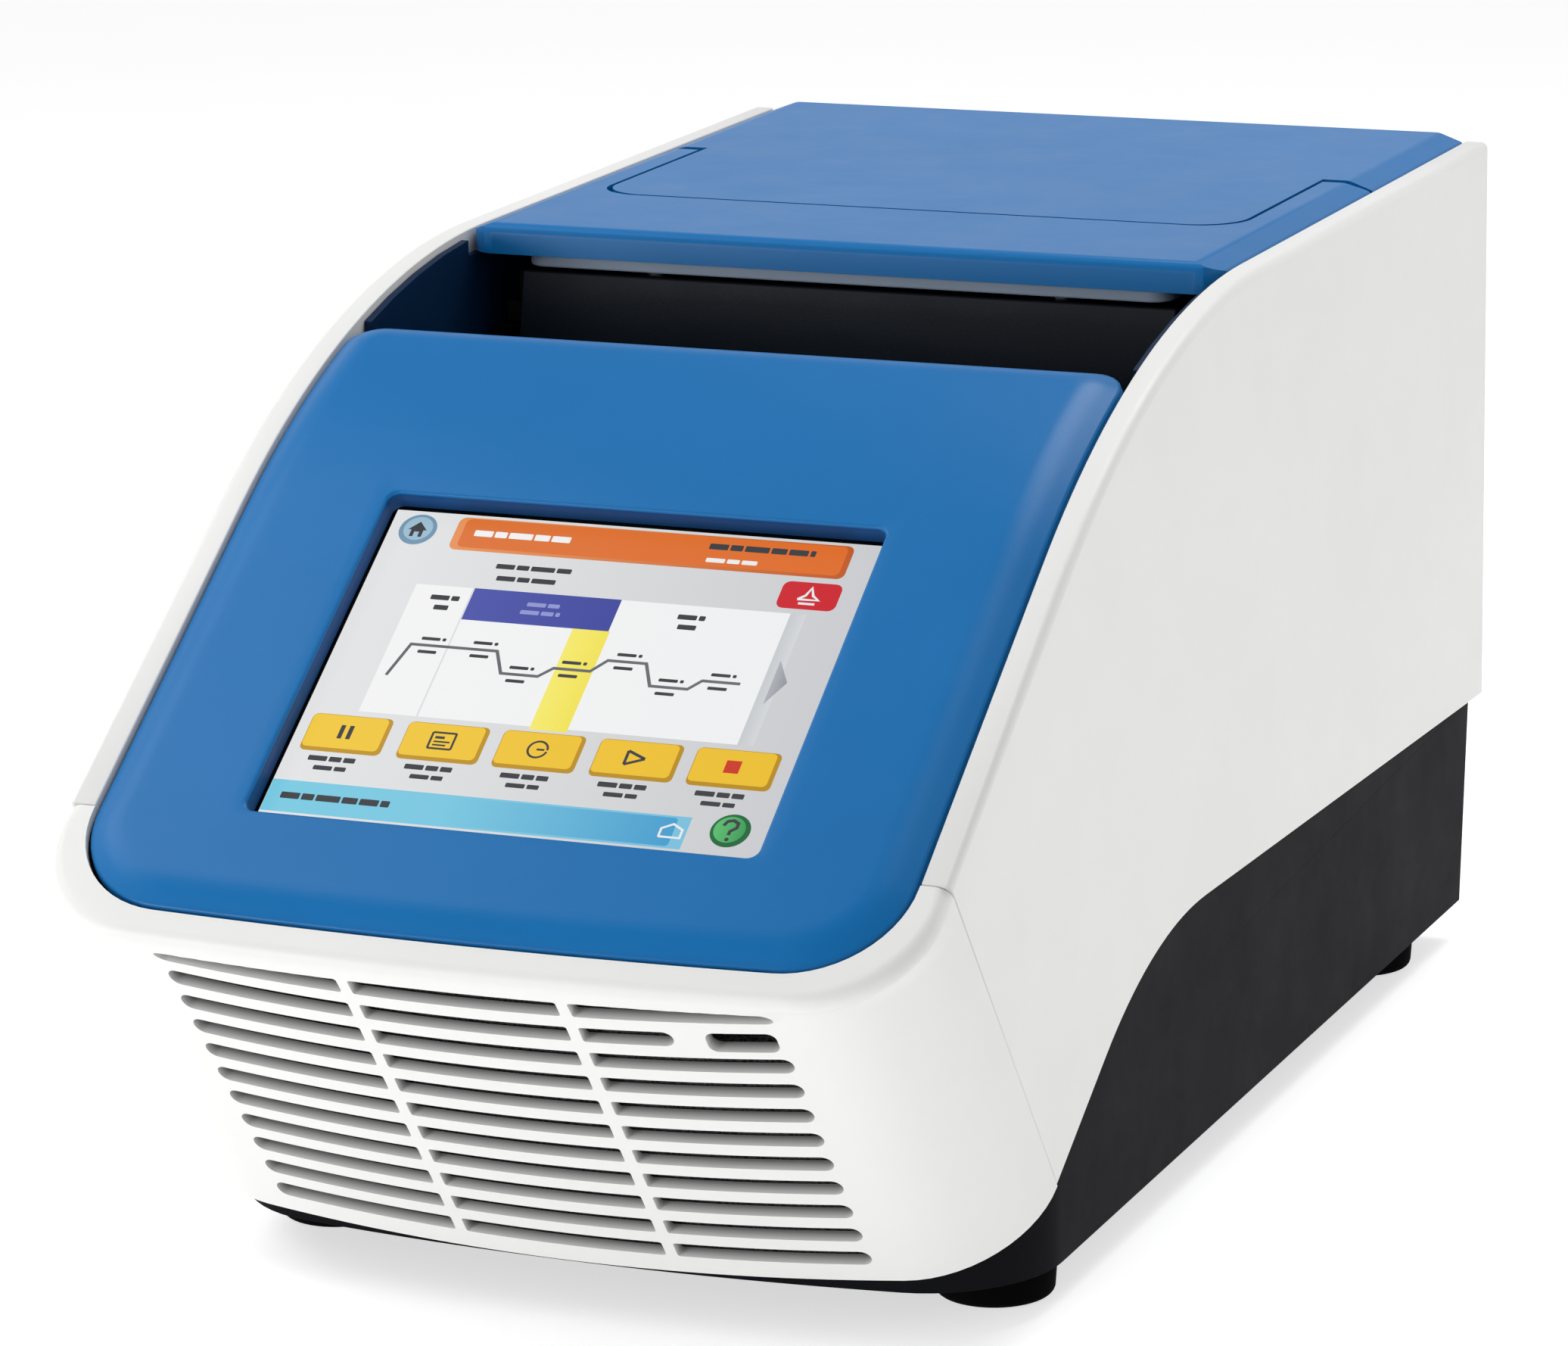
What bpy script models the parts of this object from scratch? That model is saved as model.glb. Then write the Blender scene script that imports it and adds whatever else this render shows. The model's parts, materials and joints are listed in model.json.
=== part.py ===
"""A benchtop 96-well thermal cycler with a sliding heated cover.

Units are metres, +Z is up, the front of the instrument faces -Y and the
operator's right is +X.  The origin is on the bench, under the middle of the
instrument.
"""
import math

import bmesh
import bpy
from mathutils import Matrix, Vector

# ---------------------------------------------------------------- casing
HALF_WIDTH = 0.1185          # outer faces of the side panels
REAR_Y = 0.2405              # rear edge of the side panels
RIM_TOP = 0.2427             # flat top edge of the side panels
CROWN_TOP = 0.2450           # highest surface of the cover
ARC_Y = 0.030                # where the top edge starts to curve down
ARC_RADIUS = 0.2675
SLOPE = math.radians(35.0)   # angle of the control panel
ARC_STEPS = 10
RIM_WIDTH = 0.0076           # white rim beside the blue panels
RIM_DEPTH = 0.008
WALL = 0.003
GAP = 0.0004                 # clearance between fixed neighbours

# ---------------------------------------------------------------- front piece
CHIN_Y, CHIN_Z = -0.2421, 0.1112     # sharp corner of slope and front face
FACE_LEAN = math.radians(36.7)       # front face leans back from vertical
CHIN_RADIUS = 0.0038
SEAM_DEPTH = 0.041                   # front piece wraps this far round the sides
CORNER_RADIUS = 0.030
BOW_TOP, BOW_FACE = 0.0035, 0.0105   # how far the sides stand behind the middle
FRONT_SAG = 0.0014                   # lower edge dips this much in the middle
SKIRT_SLOPE = 0.608                  # rise of the casing's lower edge at the front
SKIRT_Y, SKIRT_Z = -0.136, 0.0375    # lower edge at the seam
SLOT_PITCH, SLOT_HEIGHT, SLOT_FIRST = 0.010, 0.0056, 0.0101
SLOT_ROWS = 11
SLOT_COLUMNS = ((-0.0825, -0.0315), (-0.027, 0.027), (0.0315, 0.0825))
USB_SLOT_END = 0.0547
USB_OPENING = (0.0629, 0.0808, 0.0172, 0.0246)   # x, x, down the face, down the face
FILTER_HALF, FILTER_THICK = 0.0885, 0.004
FILTER_START, FILTER_END = 0.0055, 0.1160        # down the face

# ---------------------------------------------------------------- control panel
BEZEL_DROP = 0.0013          # bezel edge below the rim
BEZEL_THICK = 0.0032
BEZEL_RISE = 0.0045          # bezel face above its own edge
ROLL_WIDTH, ROLL_FLAT = 0.011, 0.7   # the edge slopes this wide, straight for this share of it
BEZEL_HALF = 0.1106
BEZEL_BOTTOM = 0.0095        # up the slope from the chin corner
BEZEL_TOP = 0.2235
BEZEL_RADIUS, BEZEL_BOW = 0.028, 0.0025
WINDOW_HALF = 0.0690
WINDOW_BOTTOM, WINDOW_TOP = 0.0421, 0.1502

# ---------------------------------------------------------------- sample bay
DECK_TOP, DECK_THICK = 0.191, 0.003
DECK_HALF = 0.1082
BLOCK_Y = 0.065
BLOCK_HALF_X, BLOCK_HALF_Y = 0.0565, 0.0385
BLOCK_TOP, BLOCK_HEIGHT = 0.1945, 0.0225
WELL_PITCH, WELL_DEPTH = 0.009, 0.015
WELL_TOP_RADIUS, WELL_END_RADIUS = 0.0033, 0.0016
WELL_SIDES = 6

# ---------------------------------------------------------------- sliding cover
LID_HALF = 0.1103
LID_FRONT, LID_SPLIT = 0.016, 0.1497
LID_PLATE = 0.0035
LID_SKIRT_BOTTOM = 0.2365
CROWN_HALF, CROWN_EDGE_Z = 0.103, 0.2423
PAD_HALF, PAD_FRONT, PAD_RADIUS = 0.0952, 0.0713, 0.014
HANDLE_RADIUS = 0.008          # front corners of the handle, seen from above
WING_FRONT = 0.1518
HINGE_Y, HINGE_Z = 0.150, 0.239
PIN_RADIUS = 0.00125
PLATEN_BOTTOM = 0.1988
POST_X, POST_YS = 0.060, (0.032, 0.098)

# ---------------------------------------------------------------- service side
REAR_PANEL_Y = 0.2362
REAR_PANEL_THICK = 0.0022
REAR_PANEL_Z = (0.0735, 0.197)
EXHAUST_X, EXHAUST_Z = 0.045, 0.148
INTAKE_Y, INTAKE_Z = -0.025, 0.118
INLET_X, INLET_Z = -0.083, 0.092
SWITCH_X = -0.045
ROCKER_TILT = math.radians(6.0)      # off and on are this far either side of level
LAN_X, USB_REAR_X, PORT_Z = 0.005, 0.033, 0.088

# ---------------------------------------------------------------- base and feet
BASE_HALF = 0.1138
BASE_BOTTOM = 0.0115
FOOT_RADIUS, FOOT_X, FOOT_YS = 0.0165, 0.0935, (-0.115, 0.195)
FLOOR_TOP = 0.014

FACE_DOWN = Vector((0.0, math.sin(FACE_LEAN), -math.cos(FACE_LEAN)))
FACE_IN = Vector((0.0, math.cos(FACE_LEAN), math.sin(FACE_LEAN)))
CHIN = Vector((0.0, CHIN_Y, CHIN_Z))
UP_SLOPE = Vector((0.0, math.cos(SLOPE), math.sin(SLOPE)))
SLOPE_IN = Vector((0.0, math.sin(SLOPE), -math.cos(SLOPE)))


# ---------------------------------------------------------------- materials
def make_material(name, colour, roughness, metallic=0.0):
    material = bpy.data.materials.new(name)
    material.use_nodes = True
    shader = material.node_tree.nodes["Principled BSDF"]
    shader.inputs["Base Color"].default_value = (*colour, 1.0)
    shader.inputs["Roughness"].default_value = roughness
    shader.inputs["Metallic"].default_value = metallic
    material.diffuse_color = (*colour, 1.0)
    return material


def make_materials():
    return {
        "white": make_material("white_plastic", (0.78, 0.78, 0.76), 0.45),
        "blue": make_material("blue_plastic", (0.055, 0.21, 0.48), 0.35),
        "dark_blue": make_material("dark_blue_plastic", (0.01, 0.04, 0.12), 0.4),
        "charcoal": make_material("charcoal_plastic", (0.022, 0.022, 0.027), 0.5),
        "grey": make_material("grey_plastic", (0.16, 0.16, 0.17), 0.5),
        "rubber": make_material("black_rubber", (0.012, 0.012, 0.012), 0.85),
        "silicone": make_material("white_silicone", (0.65, 0.63, 0.58), 0.6),
        "steel": make_material("steel", (0.55, 0.56, 0.58), 0.32, 1.0),
        "aluminium": make_material("aluminium", (0.72, 0.73, 0.75), 0.38, 1.0),
        "ceramic": make_material("ceramic", (0.82, 0.82, 0.80), 0.5),
        "screen": make_material("screen", (0.55, 0.58, 0.62), 0.15),
        "board": make_material("circuit_board", (0.01, 0.11, 0.05), 0.45),
        "foam": make_material("foam", (0.09, 0.09, 0.09), 0.9),
        "filter": make_material("filter_foam", (0.42, 0.42, 0.43), 0.9),
    }


# ---------------------------------------------------------------- shapes
def box(low, high):
    shape = bmesh.new()
    size = Vector(high) - Vector(low)
    middle = (Vector(high) + Vector(low)) / 2
    matrix = Matrix.Translation(middle) @ Matrix.Diagonal((*size, 1.0))
    bmesh.ops.create_cube(shape, size=1.0, matrix=matrix)
    return shape


def sweep(outline, low, high, place):
    """Prism over a closed outline; place(a, b, h) turns a point into a position."""
    shape = bmesh.new()
    bottom = [shape.verts.new(place(a, b, low)) for a, b in outline]
    top = [shape.verts.new(place(a, b, high)) for a, b in outline]
    shape.faces.new(bottom)
    shape.faces.new(reversed(top))
    for i in range(len(outline)):
        j = (i + 1) % len(outline)
        shape.faces.new((bottom[j], bottom[i], top[i], top[j]))
    bmesh.ops.recalc_face_normals(shape, faces=shape.faces)
    return shape


def prism_x(outline, low, high):
    return sweep(outline, low, high, lambda y, z, x: (x, y, z))


def prism_y(outline, low, high):
    return sweep(outline, low, high, lambda x, z, y: (x, y, z))


def prism_z(outline, low, high):
    return sweep(outline, low, high, lambda x, y, z: (x, y, z))


def prism_face(outline, low, high):
    """Outline of (x, down the front face), swept square to the front face."""
    return sweep(outline, low, high, lambda x, s, d: CHIN + Vector((x, 0, 0)) + FACE_DOWN * s + FACE_IN * d)


def prism_slope(outline, low, high):
    """Outline of (x, up the slope from the chin), swept down into the casing."""
    return sweep(outline, low, high, lambda x, q, d: CHIN + Vector((x, 0, 0)) + UP_SLOPE * q + SLOPE_IN * d)


def tube(axis, centre, radii, sides=16):
    """Turned solid; radii is a list of (position along the axis, radius)."""
    shape = bmesh.new()
    rings = []
    for along, radius in radii:
        ring = []
        for i in range(sides):
            angle = 2 * math.pi * i / sides
            a, b = radius * math.cos(angle), radius * math.sin(angle)
            offset = {"X": (along, a, b), "Y": (a, along, b), "Z": (a, b, along)}[axis]
            ring.append(shape.verts.new(Vector(centre) + Vector(offset)))
        rings.append(ring)
    shape.faces.new(rings[0])
    shape.faces.new(reversed(rings[-1]))
    for lower, upper in zip(rings, rings[1:]):
        for i in range(sides):
            j = (i + 1) % sides
            shape.faces.new((lower[j], lower[i], upper[i], upper[j]))
    bmesh.ops.recalc_face_normals(shape, faces=shape.faces)
    return shape


def merge(shapes):
    """One bmesh that holds several separate shapes."""
    whole = bmesh.new()
    for shape in shapes:
        mesh = bpy.data.meshes.new("scratch")
        shape.to_mesh(mesh)
        shape.free()
        whole.from_mesh(mesh)
        bpy.data.meshes.remove(mesh)
    return whole


def rectangle(x0, x1, y0, y1):
    return [(x0, y0), (x1, y0), (x1, y1), (x0, y1)]


def rounded(points, radii, steps=4):
    """Closed outline with each corner replaced by an arc of its own radius."""
    result = []
    count = len(points)
    for i, (x, y) in enumerate(points):
        here = Vector((x, y))
        radius = radii[i] if isinstance(radii, (list, tuple)) else radii
        if radius <= 0:
            result.append((x, y))
            continue
        back = (Vector(points[i - 1]) - here).normalized()
        ahead = (Vector(points[(i + 1) % count]) - here).normalized()
        half = back.angle(ahead) / 2
        centre = here + (back + ahead).normalized() * (radius / math.sin(half))
        start = here + back * (radius / math.tan(half)) - centre
        end = here + ahead * (radius / math.tan(half)) - centre
        turn = math.atan2(start.cross(end), start.dot(end))
        for k in range(steps + 1):
            angle = turn * k / steps
            c, s = math.cos(angle), math.sin(angle)
            result.append((centre.x + c * start.x - s * start.y, centre.y + s * start.x + c * start.y))
    return result


# ---------------------------------------------------------------- objects
def add_part(name, shape, material, parent=None):
    mesh = bpy.data.meshes.new(name)
    shape.to_mesh(mesh)
    shape.free()
    part = bpy.data.objects.new(name, mesh)
    bpy.context.scene.collection.objects.link(part)
    mesh.materials.append(material)
    if parent is not None:
        part.parent = parent
        part.matrix_parent_inverse = Matrix.Translation(-parent.location)
    return part


def add_axis(name, location):
    axis = bpy.data.objects.new(name, None)
    axis.location = location
    axis.empty_display_size = 0.02
    bpy.context.scene.collection.objects.link(axis)
    return axis


def combine(part, shapes, operation):
    """Boolean the shapes, which must not touch each other, with the part."""
    mesh = bpy.data.meshes.new(part.name + "_tool")
    shape = merge(shapes)
    shape.to_mesh(mesh)
    shape.free()
    tool = bpy.data.objects.new(part.name + "_tool", mesh)
    bpy.context.scene.collection.objects.link(tool)
    tool.hide_render = True
    tool.display_type = "WIRE"
    modifier = part.modifiers.new(operation.lower(), "BOOLEAN")
    modifier.operation = operation
    modifier.solver = "EXACT"
    modifier.object = tool


def subtract(part, *shapes):
    combine(part, shapes, "DIFFERENCE")


def unite(part, *shapes):
    combine(part, shapes, "UNION")


def shade_round(part, angle=40.0):
    part.data.shade_smooth()
    part.data.set_sharp_from_angle(angle=math.radians(angle))


# ---------------------------------------------------------------- casing outlines
def rim_height(y, offset):
    """Height of the top edge at y, moved inward by offset."""
    radius = ARC_RADIUS - offset
    centre_z = RIM_TOP - ARC_RADIUS
    sine = max(0.0, (ARC_Y - y) / radius)
    if sine < math.sin(SLOPE):
        return centre_z + radius * math.sqrt(1 - sine * sine)
    slope_y = ARC_Y - radius * math.sin(SLOPE)
    return centre_z + radius * math.cos(SLOPE) - (slope_y - y) * math.tan(SLOPE)


def rim_line(offset, rear, front):
    """Side view (y, z) of the top edge, moved inward by offset, rear to front."""
    radius = ARC_RADIUS - offset
    arc = [ARC_Y - radius * math.sin(SLOPE * i / ARC_STEPS) for i in range(ARC_STEPS + 1)]
    places = [rear] + [y for y in arc if front < y < rear] + [front]
    return [(y, rim_height(y, offset)) for y in places]


def skirt_line():
    """Side view (y, z) of the white panel's lower edge, front to rear."""
    rear = (REAR_Y, 0.0747)
    rise = 0.026
    start = (SKIRT_Y, SKIRT_Z)
    corner_y = (rear[1] + rise * rear[0] - start[1] + SKIRT_SLOPE * start[0]) / (SKIRT_SLOPE + rise)
    corner = (corner_y, start[1] + SKIRT_SLOPE * (corner_y - start[0]))
    return rounded([start, corner, rear], [0, 0.145, 0], steps=6)


def face_top(depth):
    """How far down the face the control-panel slope is, at a depth behind it."""
    return depth * math.tan(FACE_LEAN - SLOPE)


def face_point(x, depth, down):
    return CHIN + Vector((x, 0, 0)) + FACE_IN * depth + FACE_DOWN * down


def face_bottom(depth, x=HALF_WIDTH):
    """How far down the face its lower edge is, at a depth behind it."""
    edge = SKIRT_Z - FRONT_SAG * (1 - (x / HALF_WIDTH) ** 2)
    rise = edge + SKIRT_SLOPE * (CHIN_Y + FACE_IN.y * depth - SKIRT_Y) - CHIN_Z - FACE_IN.z * depth
    return rise / (FACE_DOWN.z - SKIRT_SLOPE * FACE_DOWN.y)


def front_outline(half, radius, front, bow):
    """Half-wrapped outline of (x, depth), left seam to right seam."""
    right = []
    straight = half - radius
    for i in range(7):
        x = straight * i / 6
        right.append((x, front + bow * (x / half) ** 2))
    for i in range(1, 7):
        angle = math.pi / 2 * i / 6
        x = straight + radius * math.sin(angle)
        right.append((x, front + bow * (x / half) ** 2 + radius * (1 - math.cos(angle))))
    right.append((half, SEAM_DEPTH))
    left = [(-x, depth) for x, depth in reversed(right[1:])]
    return left + right


def front_piece_shape():
    """Shell with the chin rim on top, as a strip of sections round the outline."""
    top = front_outline(HALF_WIDTH, CORNER_RADIUS, 0.0, BOW_TOP)
    face = front_outline(HALF_WIDTH, CORNER_RADIUS, 0.0, BOW_FACE)
    inner = front_outline(HALF_WIDTH - WALL, CORNER_RADIUS - WALL, WALL, BOW_FACE)
    lip = front_outline(HALF_WIDTH - RIM_WIDTH, BEZEL_RADIUS + GAP, BEZEL_BOTTOM - GAP, BEZEL_BOW)
    shape = bmesh.new()
    sections = []
    for (tx, td), (fx, fd), (ix, idepth), (lx, ld) in zip(top, face, inner, lip):
        toward = Vector((lx - tx, ld - td)).normalized() * CHIN_RADIUS
        middle = toward * (1 - math.cos(math.pi / 4))
        middle_drop = CHIN_RADIUS * (1 - math.sin(math.pi / 4))
        places = [
            (fx, fd, face_bottom(fd, fx)),
            (fx, fd, 0.014),
            (tx, td, face_top(td) + CHIN_RADIUS),
            (tx + middle.x, td + middle.y, face_top(td + middle.y) + middle_drop),
            (tx + toward.x, td + toward.y, face_top(td + toward.y)),
            (lx, ld, face_top(ld)),
            (lx, ld, face_top(ld) + 0.0045),
            (ix, idepth, face_top(idepth) + 0.0045),
            (ix, idepth, face_bottom(idepth, ix)),
        ]
        sections.append([shape.verts.new(face_point(*place)) for place in places])
    for left, right in zip(sections, sections[1:]):
        for i in range(len(left)):
            j = (i + 1) % len(left)
            shape.faces.new((left[i], left[j], right[j], right[i]))
    shape.faces.new(sections[0])
    shape.faces.new(reversed(sections[-1]))
    bmesh.ops.recalc_face_normals(shape, faces=shape.faces)
    return shape


def slot_outline(x0, x1, centre):
    return rounded(rectangle(x0, x1, centre - SLOT_HEIGHT / 2, centre + SLOT_HEIGHT / 2),
                   SLOT_HEIGHT * 0.49, steps=2)


def slot_shapes():
    shapes = []
    for row in range(SLOT_ROWS):
        centre = SLOT_FIRST + SLOT_PITCH * row
        for x0, x1 in SLOT_COLUMNS:
            if row == 1 and x0 > 0:
                x1 = USB_SLOT_END
            shapes.append(prism_face(slot_outline(x0, x1, centre), -0.004, 0.013))
    x0, x1, s0, s1 = USB_OPENING
    shapes.append(prism_face(rounded(rectangle(x0, x1, s0, s1), 0.0025, steps=2), -0.004, 0.016))
    return shapes


# ---------------------------------------------------------------- casing parts
def add_side_panels(materials):
    seam = [face_point(0, SEAM_DEPTH + GAP, s) for s in (face_top(SEAM_DEPTH), face_bottom(SEAM_DEPTH))]
    outline = rim_line(0, REAR_Y, seam[0].y)
    outline += [(seam[1].y, seam[1].z)] + skirt_line()[1:]
    pocket = rim_line(RIM_DEPTH, REAR_Y - WALL, -0.26) + [(-0.26, -0.02), (REAR_Y - WALL, -0.02)]
    for name, side in (("side_panel_left", -1), ("side_panel_right", 1)):
        inner, outer = sorted((side * (HALF_WIDTH - RIM_WIDTH), side * HALF_WIDTH))
        panel = add_part(name, prism_x(outline, inner, outer), materials["white"])
        low, high = sorted((side * (HALF_WIDTH - RIM_WIDTH - 0.002), side * (HALF_WIDTH - WALL)))
        subtract(panel, prism_x(pocket, low, high))
        shade_round(panel, 20.0)


def add_front_grille(materials):
    grille = add_part("front_grille", front_piece_shape(), materials["white"])
    subtract(grille, *slot_shapes())
    shade_round(grille, 30.0)


def add_air_filter(materials):
    """Foam mat behind the louvres, bowed like the face, with a hole for the USB socket."""
    places = [FILTER_HALF * i / 5 for i in range(-5, 6)]
    front = [(x, WALL + 0.001 + BOW_FACE * (x / HALF_WIDTH) ** 2) for x in places]
    rear = [(x, depth + FILTER_THICK) for x, depth in reversed(front)]
    shape = sweep(front + rear, FILTER_START, FILTER_END, face_point)
    mat = add_part("air_filter", shape, materials["filter"])
    x0, x1, s0, s1 = USB_OPENING
    subtract(mat, prism_face(rectangle(x0 - 0.003, x1 + 0.003, s0 - 0.004, s1 + 0.004), -0.01, 0.04))


def slope_point(x, up, depth):
    """Point at a distance up the control panel and round the top arc, at a depth below the rim."""
    straight = (ARC_Y - ARC_RADIUS * math.sin(SLOPE) - CHIN_Y) / math.cos(SLOPE)
    if up <= straight:
        return CHIN + Vector((x, 0, 0)) + UP_SLOPE * up + SLOPE_IN * depth
    angle = SLOPE - (up - straight) / ARC_RADIUS
    radius = ARC_RADIUS - depth
    return Vector((x, ARC_Y - radius * math.sin(angle), RIM_TOP - ARC_RADIUS + radius * math.cos(angle)))


def panel_outline(half, bottom, top, low_radius, high_radius, bow):
    """Closed outline of (x, up the panel) whose points keep their order at every size."""
    right = []
    for i in range(7):
        x = (half - low_radius) * i / 6
        right.append((x, bottom + bow * (x / half) ** 2))
    for i in range(1, 8):
        angle = math.pi / 2 * i / 7
        x = half - low_radius + low_radius * math.sin(angle)
        right.append((x, bottom + bow * (x / half) ** 2 + low_radius * (1 - math.cos(angle))))
    start = right[-1][1]
    for i in range(1, 15):
        right.append((half, start + (top - high_radius - start) * i / 14))
    for i in range(1, 5):
        angle = math.pi / 2 * i / 4
        right.append((half - high_radius * (1 - math.cos(angle)), top - high_radius * (1 - math.sin(angle))))
    for i in range(1, 5):
        right.append(((half - high_radius) * (1 - i / 4), top))
    return right + [(-x, up) for x, up in reversed(right[1:-1])]


def roll_height(share):
    """Rise of the bezel's sloping edge, straight at first and then rounding into the face."""
    gradient = 2 / (1 + ROLL_FLAT)
    height = gradient * share
    if share > ROLL_FLAT:
        height -= gradient * (share - ROLL_FLAT) ** 2 / (2 * (1 - ROLL_FLAT))
    return height


def bezel_ring(inset):
    return panel_outline(BEZEL_HALF - inset, BEZEL_BOTTOM + inset, BEZEL_TOP - inset, BEZEL_RADIUS - inset,
                         0.010 - 0.6 * inset, BEZEL_BOW)


def add_bezel(materials):
    """Pillow-shaped panel with a window, as rings of points from its edge to the window and back."""
    face = BEZEL_DROP - BEZEL_RISE
    window = panel_outline(WINDOW_HALF, WINDOW_BOTTOM, WINDOW_TOP, 0.003, 0.003, 0.0)
    rings = [(bezel_ring(ROLL_WIDTH * share), BEZEL_DROP - BEZEL_RISE * roll_height(share))
             for share in (0.0, ROLL_FLAT, 0.85, 1.0)]
    for share in (i / 6 for i in range(1, 7)):
        ring = [(x0 + (x1 - x0) * share, u0 + (u1 - u0) * share)
                for (x0, u0), (x1, u1) in zip(rings[3][0], window)]
        rings.append((ring, face))
    shape = bmesh.new()
    loops = [[shape.verts.new(slope_point(x, up, depth)) for x, up in ring] for ring, depth in rings]
    loops += [[shape.verts.new(slope_point(x, up, depth + BEZEL_THICK)) for x, up in ring]
              for ring, depth in reversed(rings)]
    for near, far in zip(loops, loops[1:] + loops[:1]):
        for i in range(len(near)):
            j = (i + 1) % len(near)
            shape.faces.new((near[i], near[j], far[j], far[i]))
    bmesh.ops.recalc_face_normals(shape, faces=shape.faces)
    bezel = add_part("front_bezel", shape, materials["blue"])
    shade_round(bezel, 25.0)


def add_display(materials):
    """Gasket, glass, panel and board behind the bezel's window."""
    back = BEZEL_DROP - BEZEL_RISE + BEZEL_THICK
    layers = (("display_gasket", "rubber", 0.0045, 0.0003, 0.0028),
              ("touch_glass", "screen", 0.0030, 0.0031, 0.0049),
              ("lcd_display", "steel", 0.0010, 0.0053, 0.0110),
              ("display_board", "board", -0.0010, 0.0140, 0.0156))
    for name, material, margin, low, high in layers:
        outline = rectangle(-WINDOW_HALF - margin, WINDOW_HALF + margin, WINDOW_BOTTOM - margin,
                            WINDOW_TOP + 0.7 * margin)
        add_part(name, prism_slope(outline, back + low, back + high), materials[material])
    half = WINDOW_HALF + 0.0005
    inner = rectangle(-half, half, WINDOW_BOTTOM - 0.0005, WINDOW_TOP + 0.0005)
    subtract(bpy.data.objects["display_gasket"], prism_slope(inner, back - 0.001, back + 0.004))


def base_outline(inset):
    """Plan (x, y) of the base tray: bowed front with rounded corners."""
    half = BASE_HALF - inset
    front, radius, bow = -0.1615 + inset, 0.030 - inset, 0.011
    right = []
    straight = half - radius
    for i in range(5):
        x = straight * i / 4
        right.append((x, front + bow * (x / half) ** 2))
    for i in range(1, 6):
        angle = math.pi / 2 * i / 5
        x = straight + radius * math.sin(angle)
        right.append((x, front + bow * (x / half) ** 2 + radius * (1 - math.cos(angle))))
    rear = 0.240 if inset == 0 else 0.2275
    right.append((half, rear))
    return [(-x, y) for x, y in reversed(right[1:])] + right


def add_base(materials):
    top = 0.092
    base = add_part("base_chassis", prism_z(base_outline(0), BASE_BOTTOM, top), materials["charcoal"])
    subtract(base, prism_z(base_outline(WALL), FLOOR_TOP, top + 0.02))
    above = [(-0.20, 0.0165), (-0.158, 0.0165), (-0.130, 0.046), (-0.060, 0.088), (0.2265, 0.088),
             (0.2265, 0.0727), (0.26, 0.0727), (0.26, 0.12), (-0.20, 0.12)]
    subtract(base, prism_x(above, -0.14, 0.14))
    behind = [(0.2400, 0.0735), (0.2315, 0.005), (0.27, 0.005), (0.27, 0.0735)]
    subtract(base, prism_x(behind, -0.14, 0.14))
    vents = [prism_z(rounded(rectangle(x - 0.002, x + 0.002, 0.0, 0.08), 0.0019, steps=2), 0.005, 0.020)
             for x in (-0.030, -0.015, 0.0, 0.015, 0.030)]
    subtract(base, *vents)
    shade_round(base, 25.0)
    names = ("foot_front_left", "foot_front_right", "foot_rear_left", "foot_rear_right")
    places = [(side * FOOT_X, y) for y in FOOT_YS for side in (-1, 1)]
    for name, (x, y) in zip(names, places):
        radii = [(0.0, FOOT_RADIUS - 0.0018), (0.0018, FOOT_RADIUS), (BASE_BOTTOM - 0.0003, FOOT_RADIUS)]
        foot = add_part(name, tube("Z", (x, y, 0), radii, 20), materials["rubber"])
        shade_round(foot)


# ---------------------------------------------------------------- sample bay parts
def add_deck(materials):
    low = DECK_TOP - DECK_THICK
    outline = [(-0.0500, 0.2185), (-0.0340, DECK_TOP), (0.2355, DECK_TOP), (0.2355, low),
               (-0.0358, low), (-0.0530, 0.2175)]
    deck = add_part("block_deck", prism_x(outline, -DECK_HALF, DECK_HALF), materials["charcoal"])
    hole_x, hole_y = BLOCK_HALF_X + 0.0035, BLOCK_HALF_Y + 0.0035
    subtract(deck, box((-hole_x, BLOCK_Y - hole_y, low - 0.01), (hole_x, BLOCK_Y + hole_y, DECK_TOP + 0.01)))
    gasket_x, gasket_y = hole_x - GAP, hole_y - GAP
    gasket = add_part("block_gasket", box((-gasket_x, BLOCK_Y - gasket_y, 0.187),
                                          (gasket_x, BLOCK_Y + gasket_y, 0.1925)), materials["silicone"])
    inner_x, inner_y = BLOCK_HALF_X + 0.0003, BLOCK_HALF_Y + 0.0003
    subtract(gasket, box((-inner_x, BLOCK_Y - inner_y, 0.18), (inner_x, BLOCK_Y + inner_y, 0.20)))


def well_centres():
    return [((column - 5.5) * WELL_PITCH, BLOCK_Y + (row - 3.5) * WELL_PITCH)
            for row in range(8) for column in range(12)]


def add_block(materials):
    low, high = BLOCK_TOP - BLOCK_HEIGHT, BLOCK_TOP
    body = box((-BLOCK_HALF_X, BLOCK_Y - BLOCK_HALF_Y, low), (BLOCK_HALF_X, BLOCK_Y + BLOCK_HALF_Y, high))
    block = add_part("sample_block", body, materials["aluminium"])
    taper = (WELL_TOP_RADIUS - WELL_END_RADIUS) / WELL_DEPTH
    profile = [(-WELL_DEPTH, WELL_END_RADIUS), (0.001, WELL_TOP_RADIUS + 0.001 * taper)]
    subtract(block, *[tube("Z", (x, y, high), profile, WELL_SIDES) for x, y in well_centres()])
    sink_top = 0.1678
    for i in range(6):
        x = (i % 3 - 1) * 0.0378
        y = BLOCK_Y + (0.0192 if i >= 3 else -0.0192)
        add_part("peltier_%d" % (i + 1), box((x - 0.018, y - 0.0185, sink_top + 0.0004),
                                             (x + 0.018, y + 0.0185, low - 0.0004)), materials["ceramic"])
    add_heat_sink(materials, sink_top)


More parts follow.
